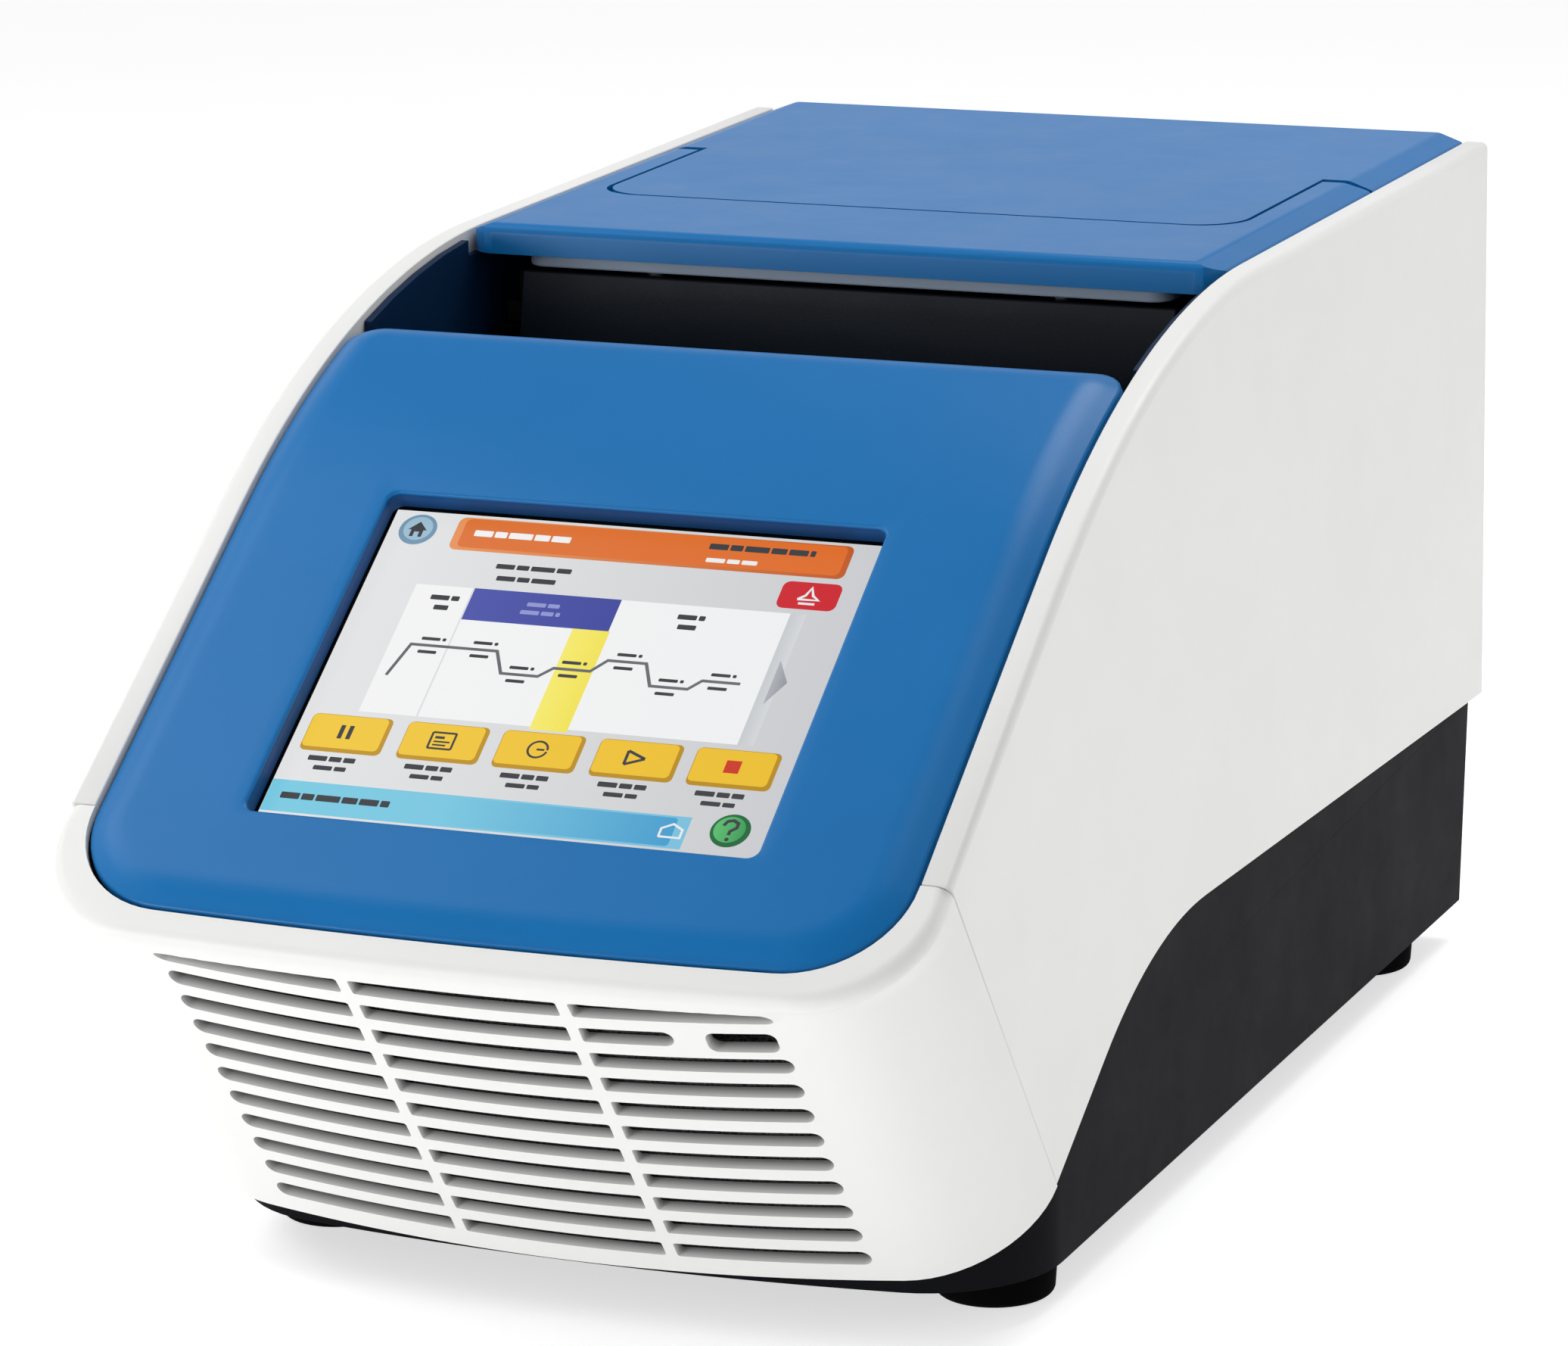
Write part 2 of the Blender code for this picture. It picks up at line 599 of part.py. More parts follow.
def add_heat_sink(materials, top):
    half, base_low, fin_low, fin_half = 0.078, 0.158, 0.100, 0.001
    outline = [(-half, top), (-half, base_low)]
    for i in range(13):
        x = (i - 6) * 0.0115
        outline += [(x - fin_half, base_low), (x - fin_half, fin_low)]
        outline += [(x + fin_half, fin_low), (x + fin_half, base_low)]
    outline += [(half, base_low), (half, top)]
    add_part("heat_sink", prism_y(outline, 0.014, 0.116), materials["aluminium"])
    for name, side in (("sink_bracket_left", -1), ("sink_bracket_right", 1)):
        outline = [(0.0735, base_low - GAP), (0.0765, base_low - GAP), (0.0765, FLOOR_TOP + 0.0029),
                   (0.0925, FLOOR_TOP + 0.0029), (0.0925, FLOOR_TOP + 0.0004), (0.0735, FLOOR_TOP + 0.0004)]
        add_part(name, prism_y([(side * x, z) for x, z in outline], 0.014, 0.116), materials["steel"])


def add_inner_trim(materials):
    high = rim_line(0.0018, 0.0135, -0.0490)
    outline = high + [(-0.0490, 0.186), (0.2355, 0.186), (0.2355, 0.2360), (0.0135, 0.2360)]
    for name, side in (("inner_trim_left", -1), ("inner_trim_right", 1)):
        low, top = sorted((side * 0.1085, side * 0.1106))
        add_part(name, prism_x(outline, low, top), materials["dark_blue"])
    for name, side in (("rail_left", -1), ("rail_right", 1)):
        low, top = sorted((side * 0.1035, side * 0.1082))
        add_part(name, box((low, 0.016, 0.207), (top, 0.2355, 0.213)), materials["steel"])


# ---------------------------------------------------------------- fans
def fan_frame_shape(half, y0, y1, x, z):
    return box((x - half, y0, z - half), (x + half, y1, z + half))


def rotor_shape(centre, hub, tip, y0, y1):
    """Hub with seven twisted blades, swept as one turning outline."""
    blades, twist, layers = 7, math.radians(34), 4
    shape = bmesh.new()
    rings = []
    for layer in range(layers):
        share = layer / (layers - 1)
        ring = []
        for blade in range(blades):
            start = 2 * math.pi * blade / blades + twist * share
            corners = ((-0.30, hub), (-0.07, hub), (-0.035, tip), (0.035, tip), (0.07, hub), (0.30, hub))
            for angle, radius in corners:
                a = start + angle
                ring.append(shape.verts.new((centre[0] + radius * math.cos(a), y0 + (y1 - y0) * share,
                                             centre[1] + radius * math.sin(a))))
        rings.append(ring)
    shape.faces.new(rings[0])
    shape.faces.new(reversed(rings[-1]))
    count = len(rings[0])
    for lower, upper in zip(rings, rings[1:]):
        for i in range(count):
            j = (i + 1) % count
            shape.faces.new((lower[j], lower[i], upper[i], upper[j]))
    bmesh.ops.recalc_face_normals(shape, faces=shape.faces)
    return shape


def add_fan(prefix, half, bore, x, z, y0, y1, materials):
    """Square frame with three spokes that carry the motor, and its rotor."""
    frame = add_part(prefix + "_frame", fan_frame_shape(half, y0, y1, x, z), materials["charcoal"])
    subtract(frame, tube("Y", (x, 0, z), [(y0 - 0.01, bore), (y1 + 0.01, bore)], 28))
    spoke_low, spoke_high = y1 - 0.004, y1 - 0.0005
    unite(frame, tube("Y", (x, 0, z), [(spoke_low, 0.017), (spoke_high, 0.017)], 20))
    for i in range(3):
        angle = math.radians(90 + 120 * i)
        bar = box((0.012, spoke_low + 0.0004, -0.002), (bore + 0.002, spoke_high - 0.0004, 0.002))
        bar.transform(Matrix.Translation((x, 0, z)) @ Matrix.Rotation(angle, 4, "Y"))
        unite(frame, bar)
    shade_round(frame, 30.0)
    axis = add_axis(prefix + "_axis", (x, (y0 + y1) / 2, z))
    shape = rotor_shape((x, z), 0.018, bore - 0.0018, y0 + 0.002, spoke_low - 0.0008)
    rotor = add_part(prefix + "_rotor", shape, materials["charcoal"], axis)
    shade_round(rotor, 30.0)


def annular_sector(inner, outer, start, end, steps):
    angles = [start + (end - start) * i / steps for i in range(steps + 1)]
    return ([(outer * math.cos(a), outer * math.sin(a)) for a in angles]
            + [(inner * math.cos(a), inner * math.sin(a)) for a in reversed(angles)])


def add_fan_guard(materials):
    centre = Vector((EXHAUST_X, EXHAUST_Z))
    low = REAR_PANEL_Y + REAR_PANEL_THICK + 0.0003
    disc = tube("Y", (EXHAUST_X, 0, EXHAUST_Z), [(low, 0.041), (low + 0.0014, 0.041)], 32)
    guard = add_part("fan_guard", disc, materials["steel"])
    openings = []
    for inner, outer in ((0.008, 0.0165), (0.0185, 0.027), (0.029, 0.0375)):
        for quarter in range(4):
            start = math.pi / 2 * quarter + 0.0013 / inner
            end = math.pi / 2 * (quarter + 1) - 0.0013 / inner
            outline = [Vector(p) + centre for p in annular_sector(inner, outer, start, end, 4)]
            openings.append(prism_y([tuple(p) for p in outline], low - 0.002, low + 0.004))
    subtract(guard, *openings)


# ---------------------------------------------------------------- service side
def add_rear_panel(materials):
    low, high = REAR_PANEL_Z
    y0, y1 = REAR_PANEL_Y, REAR_PANEL_Y + REAR_PANEL_THICK
    panel = add_part("rear_panel", box((-0.1102, y0, low), (0.1102, y1, high)), materials["steel"])
    cuts = [tube("Y", (EXHAUST_X, 0, EXHAUST_Z), [(y0 - 0.01, 0.0375), (y1 + 0.01, 0.0375)], 28)]
    for x, z, half_x, half_z in ((INLET_X, INLET_Z, 0.0140, 0.0102), (SWITCH_X, INLET_Z, 0.0106, 0.0140),
                                 (LAN_X, PORT_Z, 0.0083, 0.0070), (USB_REAR_X, PORT_Z, 0.0069, 0.0032)):
        cuts.append(box((x - half_x, y0 - 0.01, z - half_z), (x + half_x, y1 + 0.01, z + half_z)))
    for row in range(8):
        z = 0.120 + 0.009 * row
        outline = rounded(rectangle(-0.095, -0.018, z - 0.0022, z + 0.0022), 0.0021, steps=2)
        cuts.append(prism_y(outline, y0 - 0.01, y1 + 0.01))
    subtract(panel, *cuts)


def add_power_entry(materials):
    y1 = REAR_PANEL_Y + REAR_PANEL_THICK
    x, z = INLET_X, INLET_Z
    body = box((x - 0.0137, y1 - 0.026, z - 0.0099), (x + 0.0137, y1 + 0.0003, z + 0.0099))
    inlet = add_part("power_inlet", body, materials["charcoal"])
    flange = rounded(rectangle(x - 0.0160, x + 0.0160, z - 0.0122, z + 0.0122), 0.003, steps=3)
    unite(inlet, prism_y(flange, y1 + 0.0002, REAR_Y - 0.0003))
    socket = [(x - 0.0122, z - 0.0080), (x + 0.0122, z - 0.0080), (x + 0.0122, z + 0.0035),
              (x + 0.0078, z + 0.0080), (x - 0.0078, z + 0.0080), (x - 0.0122, z + 0.0035)]
    subtract(inlet, prism_y(socket, y1 - 0.016, REAR_Y + 0.002))
    for dx, dz in ((-0.007, -0.001), (0.0, 0.003), (0.007, -0.001)):
        low = (x + dx - 0.001, y1 - 0.018, z + dz - 0.002)
        unite(inlet, box(low, (x + dx + 0.001, y1 - 0.003, z + dz + 0.002)))
    x = SWITCH_X
    body = box((x - 0.0103, y1 - 0.020, z - 0.0137), (x + 0.0103, y1 + 0.0003, z + 0.0137))
    housing = add_part("switch_housing", body, materials["charcoal"])
    rim = rectangle(x - 0.0120, x + 0.0120, z - 0.0152, z + 0.0152)
    unite(housing, prism_y(rim, y1 + 0.0002, y1 + 0.0012))
    subtract(housing, box((x - 0.0078, y1 - 0.012, z - 0.0112), (x + 0.0078, y1 + 0.003, z + 0.0112)))
    axis = add_axis("power_switch_axis", (x, y1 - 0.0045, z))
    profile = [(y1 - 0.0095, z - 0.002), (y1 - 0.0095, z + 0.002), (y1 - 0.0020, z + 0.0100),
               (y1 - 0.0002, z + 0.0098), (y1 - 0.0012, z), (y1 - 0.0002, z - 0.0098),
               (y1 - 0.0020, z - 0.0100)]
    rocker = prism_x(profile, x - 0.0074, x + 0.0074)
    pivot = Matrix.Translation(axis.location)
    rocker.transform(pivot @ Matrix.Rotation(-ROCKER_TILT, 4, "X") @ pivot.inverted())
    add_part("switch_rocker", rocker, materials["rubber"], axis)


def port_shape(x, z, half_x, half_z, y0, y1):
    return box((x - half_x, y0, z - half_z), (x + half_x, y1, z + half_z))


def add_rear_ports(materials):
    y1 = REAR_PANEL_Y + REAR_PANEL_THICK
    body = port_shape(LAN_X, PORT_Z, 0.0080, 0.0067, y1 - 0.018, y1 + 0.0006)
    lan = add_part("network_port", body, materials["steel"])
    subtract(lan, port_shape(LAN_X, PORT_Z, 0.0060, 0.0042, y1 - 0.012, y1 + 0.004))
    usb = add_part("usb_port_rear", port_shape(USB_REAR_X, PORT_Z, 0.0066, 0.0029, y1 - 0.014, y1 + 0.0006),
                   materials["steel"])
    subtract(usb, port_shape(USB_REAR_X, PORT_Z, 0.0061, 0.0024, y1 - 0.011, y1 + 0.004))
    low = (USB_REAR_X - 0.0055, y1 - 0.012, PORT_Z - 0.0001)
    unite(usb, box(low, (USB_REAR_X + 0.0055, y1 - 0.002, PORT_Z + 0.0017)))


def add_front_usb(materials):
    x = (USB_OPENING[0] + USB_OPENING[1]) / 2
    s = (USB_OPENING[2] + USB_OPENING[3]) / 2
    shell = rectangle(x - 0.0066, x + 0.0066, s - 0.0029, s + 0.0029)
    port = add_part("usb_port_front", prism_face(shell, 0.0100, 0.0240), materials["steel"])
    subtract(port, prism_face(rectangle(x - 0.0061, x + 0.0061, s - 0.0024, s + 0.0024), 0.0080, 0.0210))
    unite(port, prism_face(rectangle(x - 0.0055, x + 0.0055, s - 0.0014, s + 0.0002), 0.0120, 0.0220))


def add_electronics(materials):
    body = box((-0.104, 0.128, FLOOR_TOP + 0.0004), (-0.012, 0.2268, 0.064))
    supply = add_part("power_supply", body, materials["steel"])
    slots = [box((-0.094 + 0.010 * i, 0.120, 0.024), (-0.089 + 0.010 * i, 0.134, 0.054)) for i in range(8)]
    subtract(supply, *slots)
    board = add_part("main_board", box((0.0, 0.128, 0.024), (0.104, 0.2225, 0.0256)), materials["board"])
    for i in range(3):
        for j in range(3):
            x, y = 0.010 + 0.024 * i, 0.140 + 0.022 * j
            unite(board, box((x, y, 0.025), (x + 0.014, y + 0.014, 0.0285)))
    unite(board, *[tube("Z", (x, y, 0), [(FLOOR_TOP + 0.0004, 0.003), (0.0245, 0.003)], 8)
                   for x in (0.006, 0.098) for y in (0.134, 0.216)])
    body = box((-0.064, -0.118, 0.024), (0.064, -0.040, 0.0256))
    driver = add_part("driver_board", body, materials["board"])
    for i in range(5):
        x = -0.052 + 0.026 * i
        unite(driver, box((x, -0.106, 0.025), (x + 0.010, -0.052, 0.046)))
    unite(driver, *[tube("Z", (x, y, 0), [(FLOOR_TOP + 0.0004, 0.003), (0.0245, 0.003)], 8)
                    for x in (-0.058, 0.058) for y in (-0.112, -0.046)])


# ---------------------------------------------------------------- sliding cover
def crown_outline():
    return [(-LID_HALF, LID_SKIRT_BOTTOM), (LID_HALF, LID_SKIRT_BOTTOM), (LID_HALF, CROWN_EDGE_Z),
            (CROWN_HALF, CROWN_TOP), (-CROWN_HALF, CROWN_TOP), (-LID_HALF, CROWN_EDGE_Z)]


def add_cover_shell(materials, axis):
    shell = add_part("cover_shell", prism_y(crown_outline(), PAD_FRONT, REAR_Y), materials["blue"], axis)
    low = LID_SKIRT_BOTTOM - 0.01
    plate_low = CROWN_TOP - LID_PLATE
    skirt = LID_HALF - WALL
    subtract(shell, box((-skirt, 0.03, low), (skirt, REAR_Y - WALL, plate_low)))
    for x in (-0.108, 0.108):
        subtract(shell, box((x - 0.0128, 0.03, low), (x + 0.0128, WING_FRONT, 0.26)))
    unite(shell, box((-LID_HALF, REAR_Y - WALL, 0.1995), (LID_HALF, REAR_Y, LID_SKIRT_BOTTOM + 0.002)))
    bosses = [(x, y) for x in (-0.080, 0.080) for y in (0.085, 0.170, 0.222)]
    for x, y in bosses:
        unite(shell, tube("Z", (x, y, 0), [(0.2299, 0.0035), (plate_low + 0.001, 0.0035)], 10))


def corner_cutter(side, half, front, radius):
    """Upright prism that rounds the front corner of a cover part, seen from above."""
    x, y = side * half, front
    arc = [(x - side * radius * (1 - math.sin(a)), y + radius * (1 - math.cos(a)))
           for a in (math.pi / 2 * i / 5 for i in range(6))]
    beyond = [(x + side * 0.001, y + radius), (x + side * 0.001, y - 0.001), (x - side * radius, y - 0.001)]
    return prism_z(arc + beyond, 0.22, 0.26)


def add_handle(materials, axis):
    plate_low = CROWN_TOP - LID_PLATE
    inner = LID_HALF - WALL
    handle = add_part("cover_handle", prism_y(crown_outline(), LID_FRONT, LID_SPLIT), materials["blue"], axis)
    hollow = rounded(rectangle(-inner, inner, LID_FRONT + WALL, 0.16), [HANDLE_RADIUS - WALL] * 2 + [0, 0])
    subtract(handle, prism_z(hollow, 0.22, plate_low))
    subtract(handle, *[corner_cutter(side, LID_HALF, LID_FRONT, HANDLE_RADIUS) for side in (-1, 1)])
    edge = PAD_HALF + 0.0006
    hole = rounded([(-edge, 0.18), (-edge, PAD_FRONT - 0.0007), (edge, PAD_FRONT - 0.0007), (edge, 0.18)],
                   [0, PAD_RADIUS, PAD_RADIUS, 0], steps=5)
    subtract(handle, prism_z(hole, 0.22, 0.26))
    bevel = [(LID_SPLIT - 0.0021, CROWN_TOP + 0.0002), (LID_SPLIT + 0.001, CROWN_TOP - 0.0029),
             (LID_SPLIT + 0.001, 0.25)]
    subtract(handle, prism_x(bevel, -0.12, 0.12))
    lug = [(0.1430, plate_low + 0.001), (0.1494, plate_low + 0.001), (0.1494, 0.2413), (0.1530, 0.2413),
           (0.1530, 0.2366), (0.1430, 0.2366)]
    unite(handle, prism_x(lug, 0.0985, 0.1060), prism_x(lug, -0.1060, -0.0985))
    bore = PIN_RADIUS + 0.0003
    subtract(handle, tube("X", (0, HINGE_Y, HINGE_Z), [(-0.107, bore), (-0.097, bore)], 12),
             tube("X", (0, HINGE_Y, HINGE_Z), [(0.097, bore), (0.107, bore)], 12))
    liner = rounded(rectangle(-0.0945, 0.0945, LID_FRONT + 0.0035, 0.0660), 0.006, steps=3)
    add_part("handle_liner", prism_z(liner, 0.2328, 0.2362), materials["grey"], axis)


def add_pad_corners():
    """The pad's front corners follow the rounded opening in the handle."""
    cutters = [corner_cutter(side, PAD_HALF, PAD_FRONT, PAD_RADIUS) for side in (-1, 1)]
    subtract(bpy.data.objects["cover_shell"], *cutters)


def add_carriage(materials, axis):
    low, high = 0.2265, 0.2295
    half, wall, bottom = 0.101, 0.0025, 0.2135
    outline = [(-half, bottom), (-half + wall, bottom), (-half + wall, low), (half - wall, low),
               (half - wall, bottom), (half, bottom), (half, high), (-half, high)]
    carriage = add_part("cover_carriage", prism_y(outline, 0.030, 0.2360), materials["steel"], axis)
    ear = [(0.1450, high - 0.001), (0.1550, high - 0.001), (0.1540, 0.2410), (0.1460, 0.2410)]
    ears = [prism_x(ear, x0, x1) for x0, x1 in ((-0.0980, -0.0952), (0.0952, 0.0980))]
    unite(carriage, *ears)
    bore = PIN_RADIUS + 0.0003
    holes = [tube("X", (0, HINGE_Y, HINGE_Z), [(-0.099, bore), (-0.094, bore)], 12),
             tube("X", (0, HINGE_Y, HINGE_Z), [(0.094, bore), (0.099, bore)], 12)]
    holes += [tube("Z", (x, y, 0), [(low - 0.005, 0.0030), (high + 0.005, 0.0030)], 12)
              for x in (-POST_X, POST_X) for y in POST_YS]
    subtract(carriage, *holes)
    for name, side in (("slide_shoe_left", -1), ("slide_shoe_right", 1)):
        x0, x1 = sorted((side * (half + 0.0004), side * 0.1080))
        add_part(name, box((x0, 0.036, 0.2134), (x1, 0.112, 0.2195)), materials["silicone"], axis)
    for name, side in (("handle_pin_left", -1), ("handle_pin_right", 1)):
        x0, x1 = sorted((side * 0.0946, side * 0.1060))
        pin = add_part(name, tube("X", (0, HINGE_Y, HINGE_Z), [(x0, PIN_RADIUS), (x1, PIN_RADIUS)], 12),
                       materials["steel"], axis)
        shade_round(pin)


def add_platen(materials, axis):
    top = 0.2195
    apron_top = 0.2312
    outline = [(0.0215, 0.1998), (0.0180, 0.2130), (0.0215, apron_top), (0.0245, apron_top), (0.0245, top),
               (0.1120, top), (0.1120, 0.1998)]
    housing = add_part("platen_housing", prism_x(outline, -0.096, 0.096), materials["charcoal"], axis)
    subtract(housing, box((-0.0640, 0.0235, 0.19), (0.0640, 0.1065, 0.2140)))
    plate = box((-0.0632, 0.0243, PLATEN_BOTTOM), (0.0632, 0.1057, 0.2068))
    add_part("heated_platen", plate, materials["aluminium"], axis)
    add_part("platen_foam", box((-0.0632, 0.0243, 0.2072), (0.0632, 0.1057, 0.2136)), materials["foam"], axis)
    for i, (x, y) in enumerate((x, y) for x in (-POST_X, POST_X) for y in POST_YS):
        body = tube("Z", (x, y, 0), [(top + 0.0004, 0.0025), (0.2312, 0.0025)], 12)
        post = add_part("platen_post_%d" % (i + 1), body, materials["steel"], axis)
        shade_round(post)


def main():
    for thing in list(bpy.data.objects):
        bpy.data.objects.remove(thing)
    materials = make_materials()
    add_base(materials)
    add_side_panels(materials)
    add_front_grille(materials)
    add_air_filter(materials)
    add_bezel(materials)
    add_display(materials)
    add_deck(materials)
    add_block(materials)
    add_inner_trim(materials)
    add_rear_panel(materials)
    add_power_entry(materials)
    add_rear_ports(materials)
    add_front_usb(materials)
    add_electronics(materials)
    add_fan("intake_fan", 0.046, 0.0435, 0.0, INTAKE_Z, INTAKE_Y, INTAKE_Y + 0.025, materials)
    back = REAR_PANEL_Y - 0.0004
    add_fan("exhaust_fan", 0.040, 0.0375, EXHAUST_X, EXHAUST_Z, back - 0.025, back, materials)
    add_fan_guard(materials)
    slide = add_axis("cover_slide_axis", (0.0, 0.128, 0.2134))
    hinge = add_axis("handle_hinge_axis", (0.0, HINGE_Y, HINGE_Z))
    lift = add_axis("platen_lift_axis", (0.0, BLOCK_Y, PLATEN_BOTTOM))
    add_cover_shell(materials, slide)
    add_pad_corners()
    add_carriage(materials, slide)
    add_handle(materials, hinge)
    add_platen(materials, lift)


main()
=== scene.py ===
"""Finished looks of a benchtop thermal cycler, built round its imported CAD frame."""

import json
from math import atan2, cos, pi, radians, sin, sqrt, tan

import bmesh
import bpy
from mathutils import Matrix, Vector


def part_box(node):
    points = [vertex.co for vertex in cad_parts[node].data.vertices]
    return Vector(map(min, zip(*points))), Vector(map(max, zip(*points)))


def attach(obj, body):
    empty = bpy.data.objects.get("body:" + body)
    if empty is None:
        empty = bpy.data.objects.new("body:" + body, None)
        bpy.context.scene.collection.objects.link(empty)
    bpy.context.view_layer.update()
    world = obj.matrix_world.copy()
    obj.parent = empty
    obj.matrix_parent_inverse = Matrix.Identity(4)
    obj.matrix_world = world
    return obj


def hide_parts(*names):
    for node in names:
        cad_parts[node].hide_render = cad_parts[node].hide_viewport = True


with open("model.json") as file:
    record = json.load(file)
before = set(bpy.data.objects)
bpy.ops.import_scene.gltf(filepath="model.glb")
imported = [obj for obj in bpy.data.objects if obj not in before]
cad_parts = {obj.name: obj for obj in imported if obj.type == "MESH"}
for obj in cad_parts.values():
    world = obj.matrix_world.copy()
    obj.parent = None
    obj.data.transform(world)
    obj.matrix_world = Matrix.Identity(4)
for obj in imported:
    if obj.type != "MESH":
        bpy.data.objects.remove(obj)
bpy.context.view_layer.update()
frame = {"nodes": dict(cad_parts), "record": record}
nodes = frame["nodes"]


def low(node):
    return Vector(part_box(node)[0])


def high(node):
    return Vector(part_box(node)[1])


def corners(node):
    return low(node), high(node)


# ---------------- sizes taken from the frame
HALF_WIDTH = high("side_panel_right").x
RIM_INNER = low("side_panel_right").x
REAR_Y = high("side_panel_right").y
RIM_TOP = high("side_panel_right").z
LID_HALF = high("cover_handle").x
LID_FRONT, LID_SPLIT = low("cover_handle").y, 0.1497
LID_SKIRT_BOTTOM = low("cover_handle").z
CROWN_TOP = high("cover_shell").z
PAD_FRONT = low("cover_shell").y
BEZEL_HALF = high("front_bezel").x
BLOCK_LOW, BLOCK_HIGH = corners("sample_block")
BLOCK_MIDDLE = (BLOCK_LOW + BLOCK_HIGH) / 2

# ---------------- casing shape, in metres
SLOPE = radians(35.0)
FACE_LEAN = radians(36.7)
ARC_Y, ARC_RADIUS, ARC_STEPS = 0.030, 0.2675, 26
RIM_DEPTH, WALL, GAP = 0.008, 0.003, 0.0004
RIM_ROUND, SKIRT_ROUND, SEAM_ROUND = 0.0026, 0.0011, 0.00035
CHIN = Vector((0.0, -0.2421, 0.1112))
CHIN_RADIUS = 0.0042
SEAM_DEPTH, CORNER_RADIUS = 0.041, 0.030
BOW_TOP, BOW_FACE, FRONT_SAG = 0.0035, 0.0105, 0.0014
SKIRT_SLOPE, SKIRT_Y, SKIRT_Z = 0.608, -0.136, 0.0375
SKIRT_REAR_Z, SKIRT_RISE, SKIRT_BEND = 0.0747, 0.026, 0.145
SLOT_PITCH, SLOT_HEIGHT, SLOT_FIRST, SLOT_ROWS = 0.010, 0.0056, 0.0101, 11
SLOT_COLUMNS = ((-0.0825, -0.0308), (-0.0277, 0.0277), (0.0308, 0.0825))
USB_SLOT_END = 0.0547
USB_OPENING = (0.0629, 0.0808, 0.0172, 0.0246)

# ---------------- control panel and cover
BEZEL_DROP, BEZEL_THICK, BEZEL_RISE = 0.0013, 0.0032, 0.0045
BEZEL_BOTTOM, BEZEL_TOP, BEZEL_RADIUS, BEZEL_BOW = 0.0095, 0.2235, 0.028, 0.0025
ROLL_WIDTH, ROLL_FLAT = 0.0115, 0.35
WINDOW_HALF, WINDOW_BOTTOM, WINDOW_TOP, WINDOW_RADIUS = 0.0690, 0.0421, 0.1502, 0.003
GLASS_DEPTH = 0.0031
CROWN_HALF, CROWN_EDGE_Z, LID_PLATE = 0.103, 0.2423, 0.0035
PAD_HALF, PAD_RADIUS, HANDLE_RADIUS, WING_FRONT = 0.0952, 0.014, 0.008, 0.1518
PAD_GAP = 0.0013
LID_INSIDE_Z, WING_X, WING_HALF = 0.2265, 0.108, 0.0128
BOSS_XS, BOSS_YS, BOSS_RADIUS = (-0.080, 0.080), (0.085, 0.170, 0.222), 0.0035
CUT_LOW, CUT_HIGH = 0.22, 0.26      # heights clear of the cover's front parts, for upright cuts
WELL_PITCH, WELL_DEPTH, WELL_TOP_RADIUS, WELL_END_RADIUS = 0.009, 0.015, 0.0033, 0.0016

FACE_DOWN = Vector((0.0, sin(FACE_LEAN), -cos(FACE_LEAN)))
FACE_IN = Vector((0.0, cos(FACE_LEAN), sin(FACE_LEAN)))
UP_SLOPE = Vector((0.0, cos(SLOPE), sin(SLOPE)))
SLOPE_IN = Vector((0.0, sin(SLOPE), -cos(SLOPE)))


# ---------------- camera, floor and lights
def add_camera():
    location = Vector((0.64569, -1.57245, 0.5528))
    yaw, pitch, roll = 0.39521, 0.24454, -0.01687
    forward = Vector((-sin(yaw) * cos(pitch), cos(yaw) * cos(pitch), -sin(pitch)))
    right = forward.cross(Vector((0, 0, 1))).normalized()
    up = right.cross(forward)
    c, s = cos(roll), sin(roll)
    columns = Matrix((c * right + s * up, c * up - s * right, -forward)).transposed().to_4x4()
    camera = bpy.data.objects.new("camera", bpy.data.cameras.new("camera"))
    camera.data.sensor_width = 36.0
    camera.data.lens = 147.06
    camera.data.clip_end = 50.0
    camera.matrix_world = Matrix.Translation(location) @ columns
    bpy.context.scene.collection.objects.link(camera)
    bpy.context.scene.camera = camera


def add_floor():
    shape = bmesh.new()
    bmesh.ops.create_circle(shape, cap_ends=True, radius=9.0, segments=96)
    mesh = bpy.data.meshes.new("floor")
    shape.to_mesh(mesh)
    shape.free()
    floor = bpy.data.objects.new("floor", mesh)
    floor.location.z = -0.0002
    bpy.context.scene.collection.objects.link(floor)
    paper = finish("floor_paper", (0.70, 0.70, 0.70), 0.75, vary=0.008, grain=600, depth=0.00002, gloss=0.1)
    surface = paper.node_tree.nodes["Principled BSDF"]
    tune(surface, Emission_Color=(1.0, 1.0, 1.0, 1.0), Emission_Strength=0.62)
    mesh.materials.append(paper)


def add_light(name, position, target, size, power):
    lamp = bpy.data.lights.new(name, "AREA")
    lamp.shape = "RECTANGLE"
    lamp.size, lamp.size_y = size
    lamp.energy = power
    light = bpy.data.objects.new(name, lamp)
    light.location = position
    light.rotation_euler = (Vector(target) - Vector(position)).to_track_quat("-Z", "Y").to_euler()
    bpy.context.scene.collection.objects.link(light)


